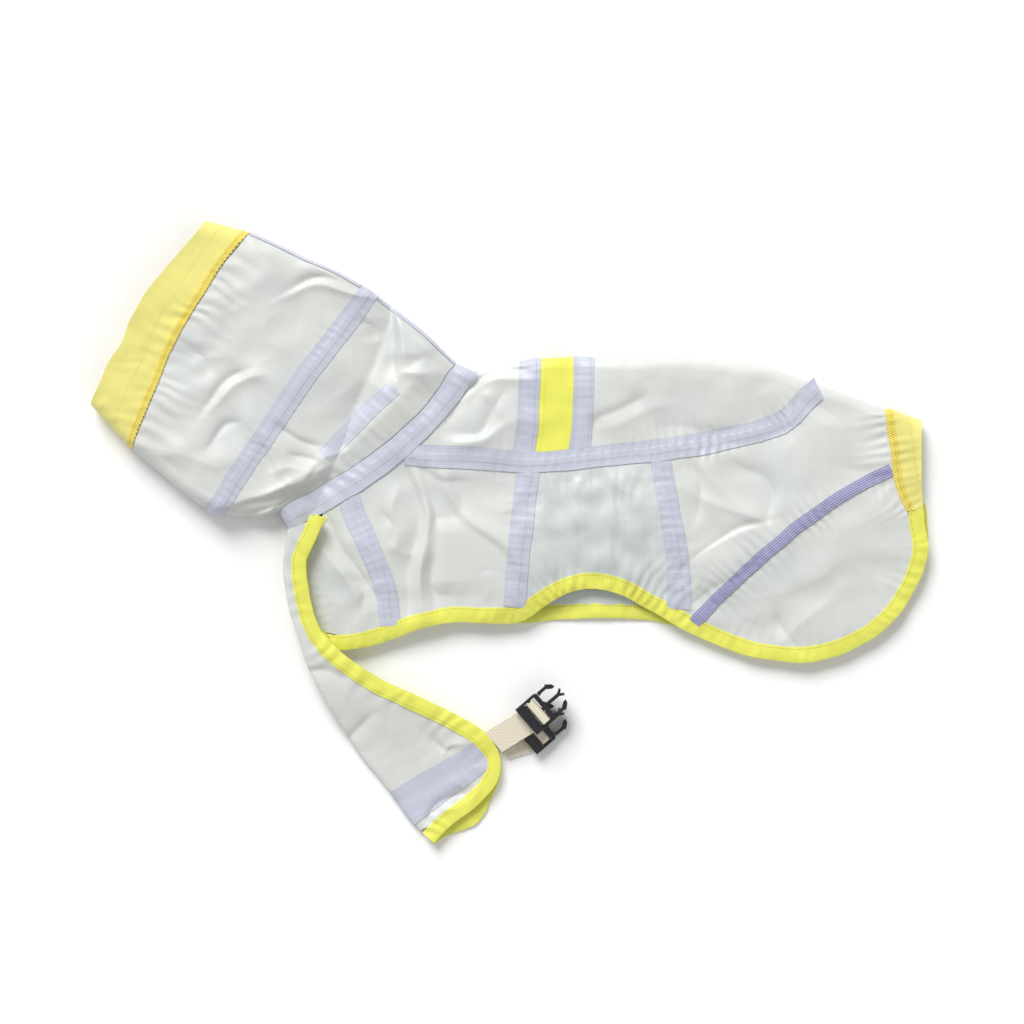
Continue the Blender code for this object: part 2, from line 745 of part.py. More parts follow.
def make_side_panels():
    """Shoulder, front side, flank and rump panels with their tapes, near and far."""
    for side, hem, height in (("near", NEAR_HEM, near_height), ("far", FAR_HEM, far_height)):
        cloth = hem.inset(BINDING_WIDTH + HEM_GAP, 160)
        bottom_corner = corner_share(cloth)
        shoulder_hem = cloth.share_at_x(SHOULDER_HEM_X, bottom_corner)
        flank_front = cloth.share_at_x(FLANK_FRONT_HEM_X, bottom_corner)
        flank_rear = cloth.share_at_x(FLANK_REAR_HEM_X, bottom_corner)
        neck_shoulder = NECK_LINE.share_at_x(SHOULDER_NECK_X)
        neck_arm = NECK_LINE.share_at_x(ARM_NECK_X)
        side_f = SIDE_SEAM.share_at_x(FLANK_FRONT_TOP_X)
        side_r = SIDE_SEAM.share_at_x(FLANK_REAR_TOP_X)

        top = NECK_LINE.points(neck_arm, neck_shoulder, 3)
        shoulder = [top[-1]] + SHOULDER_BEND + [cloth.at(shoulder_hem)]
        look = LOOKS["cloth"]
        patch(
            f"shoulder_panel_{side}",
            top,
            cloth.points(bottom_corner, shoulder_hem, 3),
            [top[0]] + cloth.points(0.0, bottom_corner, 6),
            shoulder,
            height,
            look,
            rows=7,
        )
        seam_foot = cloth.at(flank_front)
        front_seam = [SIDE_SEAM.at(side_f), seam_foot]
        top = NECK_LINE.points(neck_shoulder, NECK_CORNER, 3)
        top += SIDE_SEAM.points(0.0, side_f, FRONT_COLUMNS)[1:]
        patch(
            f"front_side_panel_{side}",
            top,
            cloth.points(shoulder_hem, flank_front, len(top) - 1),
            shoulder,
            front_seam,
            height,
            look,
            rows=7,
        )
        rear_seam = [SIDE_SEAM.at(side_r)] + FLANK_REAR_BEND + [cloth.at(flank_rear)]
        patch(
            f"flank_panel_{side}",
            SIDE_SEAM.points(side_f, side_r, 14),
            cloth.points(flank_front, flank_rear, 14),
            front_seam,
            rear_seam,
            height,
            LOOKS["flank"],
            rows=7,
        )
        spine_tip = SPINE.share_at_x(SIDE_SEAM.at(1.0).x + 0.008)
        cuff_top = SPINE.share_at_x(CUFF_INNER.at(0.0).x)
        top = SIDE_SEAM.points(side_r, 1.0, 12) + SPINE.points(spine_tip, cuff_top, 4)
        patch(
            f"rump_panel_{side}",
            top,
            cloth.points(flank_rear, 1.0, len(top) - 1),
            rear_seam,
            CUFF_INNER.points(0.0, 0.97, 4) + [cloth.at(1.0)],
            height,
            look,
            rows=7,
            spine_top=True,
        )
        tape = LOOKS["tape"]
        clear_side = TAPE_WIDTH / 2 + 2 * SEAM_GAP
        side_start = clear_share(SIDE_SEAM, NECK_LINE, NECK_CLEAR, FORWARDS)
        side_line = Seam(SIDE_SEAM.points(side_start, 0.965, 14), smooth=False)
        strip(f"side_seam_tape_{side}", side_line, TAPE_WIDTH, TAPE_LIFT, TAPE_THICKNESS, height, tape, 16)
        cross = (
            ("shoulder_tape", shoulder, NECK_CLEAR),
            ("flank_tape_front", front_seam, clear_side),
            ("flank_tape_rear", rear_seam, clear_side),
        )
        for name, points, clear in cross:
            line = Seam(points)
            start = clear / line.length
            if name == "shoulder_tape":
                start = clear_share(line, NECK_LINE, clear, FORWARDS)
            end = clear_share(line, hem, BINDING_WIDTH + HEM_GAP, BACKWARDS)
            run = Seam(line.points(start, end, 8), smooth=False)
            strip(f"{name}_{side}", run, TAPE_WIDTH, TAPE_LIFT, TAPE_THICKNESS, height, tape, 6)
        bound = height if side == "near" else binding_height
        binding(f"hem_binding_{side}", hem, bound, LOOKS["binding"], 76)
        strip(
            f"elastic_{side}",
            ELASTIC,
            ELASTIC_WIDTH,
            ELASTIC_LIFT,
            ELASTIC_THICKNESS,
            height,
            LOOKS["elastic"],
            12,
            1,
        )


def clear_share(line, other, distance, shares):
    """The first of some shares where a tape's two corners are clear of another curve."""
    curve = other.points(0.0, 1.0, 200)
    for share in shares:
        middle = line.at(share)
        aside = line.side(share) * TAPE_WIDTH / 2
        corners = (middle - aside, middle + aside)
        if all((corner - spot).length > distance for corner in corners for spot in curve):
            return share
    return shares[-1]


def corner_share(cloth):
    """The share of the lowest point of the front corner, under the bib."""
    best, found = 0.0, 1e9
    for i in range(1, 120):
        share = i / 400
        spot = cloth.at(share)
        score = spot.y + spot.x
        if score < found:
            best, found = share, score
    return best


def make_cuff():
    """Tail cuff over the spine, and the overlocked edge on its inner side."""
    edge = (SEAM_GAP, SEAM_GAP + OVERLOCK_WIDTH)
    rows = [cuff_section([p + Vector((x, 0)) for p in CUFF_INNER.points(0.0, 0.93, 6)]) for x in edge]
    grid_object("cuff_overlock_edge", rows, BAND_THICKNESS, LOOKS["overlock"])
    inner = [p + Vector((edge[1] + SEAM_GAP, 0)) for p in CUFF_INNER.points(0.0, 0.93, 6)]
    outer = CUFF_OUTER.points(0.0, 1.0, 6)
    rows = []
    for across in (0.0, 0.5, 1.0):
        rows.append(cuff_section([a.lerp(b, across) for a, b in zip(inner, outer)]))
    grid_object("tail_cuff", rows, BAND_THICKNESS, LOOKS["softshell"])


def cuff_section(line):
    """Points from the near foot of the cuff, over the spine, to its far foot."""
    crest = line[0]
    inwards = (line[1] - crest).normalized()
    base = BAND_THICKNESS / 2
    radius = (near_height(crest) - base) / 2
    centre = crest + inwards * radius
    feet = line[:1:-1]
    section = [Vector((p.x, p.y, near_height(p))) for p in feet]
    for step in range(SPINE_ARC_STEPS + 1):
        turn = math.pi / 2 - math.pi * step / SPINE_ARC_STEPS
        place = centre - inwards * radius * math.cos(turn)
        section.append(Vector((place.x, place.y, base + radius + radius * math.sin(turn))))
    return section + [Vector((p.x, p.y, base)) for p in reversed(feet)]


# -------------------------------------------------------------------------- chest bib


def bib_far_height(point):
    """Middle of the bib's far half: over the body at the top, on the floor below."""
    rest = max(BINDING_THICKNESS / 2, TAPE_LIFT + TAPE_THICKNESS / 2)
    over = near_height(point) + BINDING_THICKNESS + 0.0008
    hem_y = -0.112 * GRADE_Y
    edge = near_height(Vector((0.0, hem_y))) + BINDING_THICKNESS + 0.0008
    if point.y > hem_y:
        return over
    return rest + (edge - rest) * ease((point.y - BIB_REST_Y) / (hem_y - BIB_REST_Y))


def bib_near_height(point):
    return bib_far_height(point) + BIB_LOFT


def bib_section(fold, edge, lift=0.0, steps=3):
    """Points from the near edge of the bib, round its centre fold, to the far edge."""
    inwards = (edge - fold).normalized()
    radius = BIB_LOFT / 2
    centre = fold + inwards * radius
    flats = [edge.lerp(centre, i / steps) for i in range(steps)]
    section = [Vector((p.x, p.y, bib_near_height(p) + lift)) for p in flats]
    grown = radius + lift
    for step in range(5):
        turn = math.pi / 2 - math.pi * step / 4
        place = centre - inwards * grown * math.cos(turn)
        section.append(
            Vector((place.x, place.y, bib_far_height(centre) + radius + grown * math.sin(turn)))
        )
    return section + [Vector((p.x, p.y, bib_far_height(p) - lift)) for p in reversed(flats)]


def bib_lines():
    """Matching points along the bib's centre fold and along its binding's inner edge."""
    pairs = [graded(*pair) for pair in BIB_STATIONS]
    drop = (pairs[1][0] - pairs[0][0]).normalized() * NECK_GAP
    pairs[0] = [point + drop for point in pairs[0]]
    folds = smooth_line([pair[0] for pair in pairs], 2)
    edges = smooth_line([pair[1] for pair in pairs], 2)
    return folds, edges


def offset_line(points, distance):
    """A line moved to its left by a distance, point by point."""
    moved = []
    for i, point in enumerate(points):
        ahead = points[min(i + 1, len(points) - 1)] - points[max(i - 1, 0)]
        moved.append(point + Vector((-ahead.y, ahead.x)).normalized() * distance)
    return moved


def make_bib():
    """Folded chest bib, the tape across it and its two bound edges."""
    folds, edges = bib_lines()
    gap = SEAM_GAP
    cloth = offset_line(edges, -gap)
    rows = [bib_section(fold, edge) for fold, edge in zip(folds, cloth)]
    pieces = [grid_object("chest_bib", rows, CLOTH_THICKNESS, LOOKS["cloth"])]
    first, last = 2 * BIB_TAPE_FIRST, 2 * BIB_TAPE_LAST + 1
    rows = []
    for fold, edge in list(zip(folds, cloth))[first:last]:
        short = edge - (edge - fold).normalized() * 2 * gap
        rows.append(bib_section(fold, short, TAPE_LIFT))
    pieces.append(grid_object("bib_tape", rows, TAPE_THICKNESS, LOOKS["tape"]))
    edges.append(graded(BIB_TIP)[0])
    outer = offset_line(edges, BINDING_WIDTH)
    for side, height in (("near", bib_near_height), ("far", bib_far_height)):
        rows = []
        for inside, outside in zip(edges, outer):
            level = height(inside)
            rows.append([Vector((p.x, p.y, level)) for p in (inside, outside)])
        pieces.append(
            grid_object(f"bib_binding_{side}", rows, BINDING_THICKNESS, LOOKS["binding"])
        )
    return pieces, outer


# ------------------------------------------------------------------ straps and buckles


def ribbon(name, path, width, across, look, thickness=WEBBING_THICKNESS):
    """Webbing along a path of points, laid flat across a direction."""
    rows = [[p - across * width / 2, p + across * width / 2] for p in path]
    return grid_object(name, rows, thickness, look)


def male_buckle(name, place, height, look):
    """Ladder frame with a broad entry bar, and the centre prong, of a side-release buckle."""
    half = BUCKLE_WIDTH / 2
    window = half - BUCKLE_RAIL
    end = BUCKLE_FRAME + PRONG_LENGTH
    rounded = BUCKLE_FRAME - BUCKLE_CORNER
    stem_root = BUCKLE_FRAME + BUCKLE_CORNER
    upper = [
        (end, PRONG_HEAD * 0.6),
        (end - PRONG_LENGTH * 0.05, PRONG_HEAD),
        (end - PRONG_LENGTH * 0.27, PRONG_STEM),
        (stem_root, PRONG_STEM),
        (BUCKLE_FRAME, PRONG_NECK),
        (BUCKLE_FRAME, half - BUCKLE_CORNER),
        (rounded, half),
        (0.0, half),
    ]
    notch = [(end - PRONG_LENGTH * 0.15, 0.0)]
    outer = [(x, -y) for x, y in reversed(upper)] + notch + upper
    windows = []
    for i in range(2):
        start = BUCKLE_ENTRY + i * (BUCKLE_SLOT + BUCKLE_BAR)
        stop = start + BUCKLE_SLOT
        windows.append([(start, -window), (start, window), (stop, window), (stop, -window)])
    body = flat_outline(f"{name}_buckle", [outer] + windows, BUCKLE_THICKNESS, look)
    root = BUCKLE_FRAME + ARM_GAP
    tip = end - PRONG_LENGTH * 0.14
    outside = half - ARM_INSET
    inner = outside - ARM_WIDTH
    catch = ARM_WIDTH * 0.29
    profile = [
        (root, inner),
        (root, outside),
        (tip - PRONG_LENGTH * 0.36, outside),
        (tip - PRONG_LENGTH * 0.30, outside + catch),
        (tip - PRONG_LENGTH * 0.05, outside - ARM_WIDTH * 0.7),
        (tip, inner - ARM_WIDTH * 0.5),
        (tip - PRONG_LENGTH * 0.16, inner - ARM_WIDTH * 0.5),
        (tip - PRONG_LENGTH * 0.39, inner + catch),
        (root + PRONG_LENGTH * 0.16, inner + catch),
    ]
    arms = []
    for side, sense in (("left", 1), ("right", -1)):
        outline = [(x, sense * y) for x, y in profile]
        arms.append(flat_outline(f"{name}_arm_{side}", [outline], BUCKLE_THICKNESS - ARM_STEP, look))
    for piece in [body] + arms:
        piece.rotation_euler = (0.0, 0.0, STRAP_ANGLE)
        piece.location = (place.x, place.y, height)
    return body, arms


def strap_path(start, start_height, buckle, height, ahead):
    """Webbing from the bib's edge, over the buckle's middle bar and back under it."""
    middle_bar = buckle + ahead * (BUCKLE_ENTRY + BUCKLE_SLOT + BUCKLE_BAR / 2)
    rise = BUCKLE_THICKNESS / 2 + WEBBING_THICKNESS / 2 + LAYER_GAP
    first = buckle + ahead * (BUCKLE_ENTRY + BUCKLE_SLOT / 2)
    second = middle_bar + ahead * (BUCKLE_BAR / 2 + BUCKLE_SLOT / 2)
    run = buckle - start
    turn = BUCKLE_SLOT * 0.22
    points = [
        (start, start_height),
        (start + run * 0.4, start_height + (height - rise - start_height) * 0.4),
        (buckle - ahead * 0.001, height - rise),
        (first - ahead * turn, height - rise),
        (first, height - BUCKLE_THICKNESS / 4),
        (first, height + BUCKLE_THICKNESS / 4),
        (first + ahead * turn, height + rise),
        (middle_bar, height + rise),
        (second - ahead * turn, height + rise),
        (second, height + BUCKLE_THICKNESS / 4),
        (second, height - BUCKLE_THICKNESS / 8),
    ]
    return [Vector((p.x, p.y, z)) for p, z in points]


def strap_root(outer, share, ahead):
    """Where webbing starts, just clear of the bound edge that it is sewn under."""
    edge = Seam(outer, smooth=False)
    base = edge.at(share)
    aside = Vector((-ahead.y, ahead.x))
    reach = 0.0
    for spot in edge.points(0.0, 1.0, 400):
        if abs((spot - base).dot(aside)) <= WEBBING_WIDTH / 2 + SEAM_GAP:
            reach = max(reach, (spot - base).dot(ahead))
    return base + ahead * (reach + SEAM_GAP)


def make_straps(outer):
    """Two webbing straps on the bib, each with a male side-release buckle."""
    ahead = Vector((math.cos(STRAP_ANGLE), math.sin(STRAP_ANGLE)))
    across = Vector((-ahead.y, ahead.x, 0.0))
    stack = BUCKLE_THICKNESS + 2 * WEBBING_THICKNESS + 3 * LAYER_GAP
    made = {}
    for side, share, shift, height in (
        ("near", NEAR_STRAP_SHARE, 0.0, stack * 1.5 + LAYER_GAP),
        ("far", FAR_STRAP_SHARE, FAR_STRAP_SHIFT, stack / 2),
    ):
        root = strap_root(outer, share, ahead)
        place = STRAP_END + Vector((0.0, shift))
        base = bib_near_height(root) if side == "near" else bib_far_height(root)
        path = strap_path(root, base, place, height, ahead)
        webbing = ribbon(f"{side}_strap", path, WEBBING_WIDTH - 0.001, across, LOOKS["webbing"])
        body, arms = male_buckle(side, place, height, LOOKS["plastic"])
        made[side] = (webbing, body, arms)
    return made


def make_sockets():
    """Female buckle halves on sewn tabs, between the two layers of the coat."""
    for side, place in (("near", NEAR_SOCKET_PLACE), ("far", FAR_SOCKET_PLACE)):
        half = BUCKLE_WIDTH / 2 + SOCKET_WALL
        thick = SOCKET_THICKNESS / 2
        clear = CLOTH_THICKNESS / 2 + 2 * LAYER_GAP + WEBBING_THICKNESS + thick
        if side == "near":
            height = near_height(place) - clear - 0.0006
            sense = 1
        else:
            height = FAR_HEIGHT + clear
            sense = -1
        shell = box(
            f"socket_{side}",
            (0.0, -half, -thick),
            (SOCKET_LENGTH, half, thick),
            LOOKS["plastic"],
            0.0010,
        )
        mouth = box(
            f"mouth_{side}",
            (0.0065, -half + SOCKET_WALL, -thick + SOCKET_WALL),
            (SOCKET_LENGTH + 0.01, half - SOCKET_WALL, thick - SOCKET_WALL),
            LOOKS["plastic"],
        )
        slot = box(
            f"slot_{side}",
            (0.0022, -WEBBING_WIDTH / 2 - 0.0005, -thick - 0.01),
            (0.0057, WEBBING_WIDTH / 2 + 0.0005, thick + 0.01),
            LOOKS["plastic"],
        )
        for cutter in (mouth, slot):
            COAT.objects.unlink(cutter)
            CUTTERS.objects.link(cutter)
            cutter.hide_render = True
            cutter.display_type = "WIRE"
            cut = shell.modifiers.new("cut", "BOOLEAN")
            cut.operation = "DIFFERENCE"
            cut.object = cutter
            cutter.location = (place.x, place.y, height)
        shell.location = (place.x, place.y, height)
        lie = height + sense * (thick + LAYER_GAP + WEBBING_THICKNESS / 2)
        inner = height - sense * (thick - 0.0012)
        path = [
            Vector((place.x - TAB_LENGTH, place.y, lie)),
            Vector((place.x - TAB_LENGTH / 2, place.y, lie)),
            Vector((place.x + 0.0030, place.y, lie)),
            Vector((place.x + 0.0041, place.y, lie - sense * 0.0011)),
            Vector((place.x + 0.0041, place.y, inner)),
        ]
        ribbon(f"socket_tab_{side}", path, WEBBING_WIDTH, Vector((0, 1, 0)), LOOKS["webbing"])


def make_pivots(hood, bib, straps, outer):
    """Empties on the joint axes, with the moving pieces parented to them."""
    chord = NECK[2] - NECK[0]
    middle = (NECK[0] + NECK[2]) / 2
    hood_pivot = empty("hood_pivot", (middle.x, middle.y, HINGE_HEIGHT), math.atan2(chord.y, chord.x))
    hang_on(hood_pivot, hood)
    first, last = graded((-0.206, 0.006), (-0.176, 0.023))
    spot = (first + last) / 2
    run = last - first
    bib_pivot = empty("bib_pivot", (spot.x, spot.y, HINGE_HEIGHT), math.atan2(run.y, run.x))
    hang_on(bib_pivot, bib)
    across = STRAP_ANGLE + math.pi / 2
    ahead = Vector((math.cos(STRAP_ANGLE), math.sin(STRAP_ANGLE)))
    root = strap_root(outer, NEAR_STRAP_SHARE, ahead)
    height = bib_near_height(root) + BINDING_THICKNESS
    aside = Vector((-ahead.y, ahead.x))
    arm_middle = BUCKLE_WIDTH / 2 - ARM_INSET - ARM_WIDTH / 2
    for side, (webbing, body, arms) in straps.items():
        pivot = empty(f"{side}_strap_pivot", (root.x, root.y, height), across)
        hang_on(bib_pivot, [pivot])
        hang_on(pivot, [webbing, body])
        place = Vector((body.location.x, body.location.y))
        for arm, sense in zip(arms, (1, -1)):
            spot = place + ahead * (BUCKLE_FRAME + ARM_GAP) + aside * sense * arm_middle
            arm_pivot = empty(f"{arm.name}_pivot", (spot.x, spot.y, body.location.z))
            hang_on(pivot, [arm_pivot])
            hang_on(arm_pivot, [arm])


for old in list(bpy.data.objects):
    bpy.data.objects.remove(old, do_unlink=True)

COAT = collection("dog_raincoat")
CUTTERS = collection("cutters")
LOOKS = {
    "cloth": material("coated_cloth", (0.66, 0.69, 0.65), 0.42),
    "flank": material("flank_cloth", (0.56, 0.62, 0.60), 0.42),
    "tape": material("seam_tape", (0.50, 0.50, 0.62), 0.50),
    "softshell": material("softshell", (0.82, 0.74, 0.20), 0.85),
    "overlock": material("overlock_thread", (0.86, 0.66, 0.09), 0.80),
    "binding": material("neon_binding", (0.80, 0.90, 0.08), 0.60),
    "neon": material("neon_stripe", (0.80, 0.88, 0.08), 0.45),
    "elastic": material("ribbed_elastic", (0.30, 0.30, 0.48), 0.70),
    "webbing": material("cream_webbing", (0.80, 0.74, 0.60), 0.80),
    "plastic": material("black_plastic", (0.012, 0.012, 0.016), 0.35),
}

HOOD = make_hood() + make_dart_tapes()
make_neck_tape()
make_spine_pieces()
make_side_panels()
make_cuff()
BIB, BIB_EDGE = make_bib()
STRAPS = make_straps(BIB_EDGE)
make_sockets()
make_pivots(HOOD, BIB, STRAPS, BIB_EDGE)
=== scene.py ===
"""Looks of a hooded dog raincoat that lies on its side, inside out, folded along its spine.

Every cloth piece starts from a copy of its CAD solid. The copy is divided finely and bent by
one shared field of folds, so neighbouring pieces stay together and layers keep their order.
Units are metres.
"""

import json
import math

import bmesh
import bpy
import numpy as np
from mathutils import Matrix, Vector

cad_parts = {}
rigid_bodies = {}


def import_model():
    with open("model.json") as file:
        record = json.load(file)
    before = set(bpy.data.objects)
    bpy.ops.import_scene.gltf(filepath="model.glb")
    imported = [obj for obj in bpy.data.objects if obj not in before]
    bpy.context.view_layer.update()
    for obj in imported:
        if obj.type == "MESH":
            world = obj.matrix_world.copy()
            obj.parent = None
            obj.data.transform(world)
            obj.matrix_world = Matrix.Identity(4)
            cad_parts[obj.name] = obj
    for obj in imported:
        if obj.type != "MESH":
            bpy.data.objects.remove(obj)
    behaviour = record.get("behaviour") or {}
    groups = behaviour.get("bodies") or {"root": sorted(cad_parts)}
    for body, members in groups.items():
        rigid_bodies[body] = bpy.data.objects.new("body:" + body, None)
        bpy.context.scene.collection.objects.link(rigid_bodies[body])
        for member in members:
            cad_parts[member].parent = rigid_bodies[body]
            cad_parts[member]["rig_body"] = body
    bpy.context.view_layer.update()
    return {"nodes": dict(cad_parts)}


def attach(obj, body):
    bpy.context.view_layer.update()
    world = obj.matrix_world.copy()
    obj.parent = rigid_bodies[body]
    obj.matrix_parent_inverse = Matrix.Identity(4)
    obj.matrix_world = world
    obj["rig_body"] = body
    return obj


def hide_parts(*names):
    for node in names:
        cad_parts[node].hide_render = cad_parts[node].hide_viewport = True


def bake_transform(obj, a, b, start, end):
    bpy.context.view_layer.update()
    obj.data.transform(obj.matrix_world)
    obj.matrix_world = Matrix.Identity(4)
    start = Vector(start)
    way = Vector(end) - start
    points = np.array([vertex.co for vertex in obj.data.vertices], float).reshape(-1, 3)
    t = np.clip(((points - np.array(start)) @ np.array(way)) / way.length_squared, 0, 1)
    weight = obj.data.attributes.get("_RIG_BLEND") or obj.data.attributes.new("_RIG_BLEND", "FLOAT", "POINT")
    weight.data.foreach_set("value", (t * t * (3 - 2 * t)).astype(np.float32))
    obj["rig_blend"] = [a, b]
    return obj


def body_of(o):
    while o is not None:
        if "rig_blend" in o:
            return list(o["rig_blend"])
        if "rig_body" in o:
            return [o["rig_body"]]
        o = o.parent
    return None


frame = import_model()
NODES = frame["nodes"]


def smooth(points, steps=10):
    """A Catmull-Rom line through 2-D points, as an array."""
    p = np.array(points, float)
    p = np.vstack([2 * p[0] - p[1], p, 2 * p[-1] - p[-2]])
    line = []
    for i in range(1, len(p) - 2):
        a, b, c, d = p[i - 1 : i + 3]
        for step in range(steps):
            t = step / steps
            square = 2 * a - 5 * b + 4 * c - d
            cube = 3 * b - a - 3 * c + d
            line.append(0.5 * (2 * b + (c - a) * t + square * t**2 + cube * t**3))
    return np.array(line + [p[-2]])


def along(points, line):
    """Arc length and signed distance (left is positive) of points from a line, and its length."""
    points = np.asarray(points, float)
    start, run = line[:-1], np.diff(line, axis=0)
    size = np.hypot(run[:, 0], run[:, 1])
    reach = np.concatenate([[0.0], np.cumsum(size)])
    best = np.full(len(points), 1e9)
    length = np.zeros(len(points))
    side = np.zeros(len(points))
    last = len(run) - 1
    for i in range(len(run)):
        away = points - start[i]
        t = away @ run[i] / size[i] ** 2
        t = np.clip(t, -np.inf if i == 0 else 0, np.inf if i == last else 1)
        gap = away - t[:, None] * run[i]
        d = np.hypot(gap[:, 0], gap[:, 1])
        sign = np.sign(run[i, 0] * away[:, 1] - run[i, 1] * away[:, 0])
        near = d < best
        best[near] = d[near]
        length[near] = (reach[i] + t * size[i])[near]
        side[near] = (sign * d)[near]
    return length, side, reach[-1]


def random_waves(seed, wavelength, count, spread=math.pi, heading=0.0):
    """A smooth random field from a few sine waves, about -1 to 1."""
    rng = np.random.default_rng(seed)
    parts = []
    for _ in range(count):
        angle = heading + rng.uniform(-spread, spread)
        k = 2 * math.pi / (wavelength * rng.uniform(0.7, 1.5))
        parts.append((k * math.cos(angle), k * math.sin(angle), rng.uniform(0, 2 * math.pi)))

    def field(p):
        total = sum(np.sin(a * p[:, 0] + b * p[:, 1] + c) for a, b, c in parts)
        return total / math.sqrt(count)

    return field


WANDER_X = random_waves(3, 0.090, 7)
WANDER_Y = random_waves(4, 0.090, 7)
SOFT = random_waves(5, 0.120, 8)
MEDIUM = random_waves(6, 0.042, 10)
FINE = random_waves(7, 0.017, 12)
PATCH = random_waves(8, 0.150, 6)

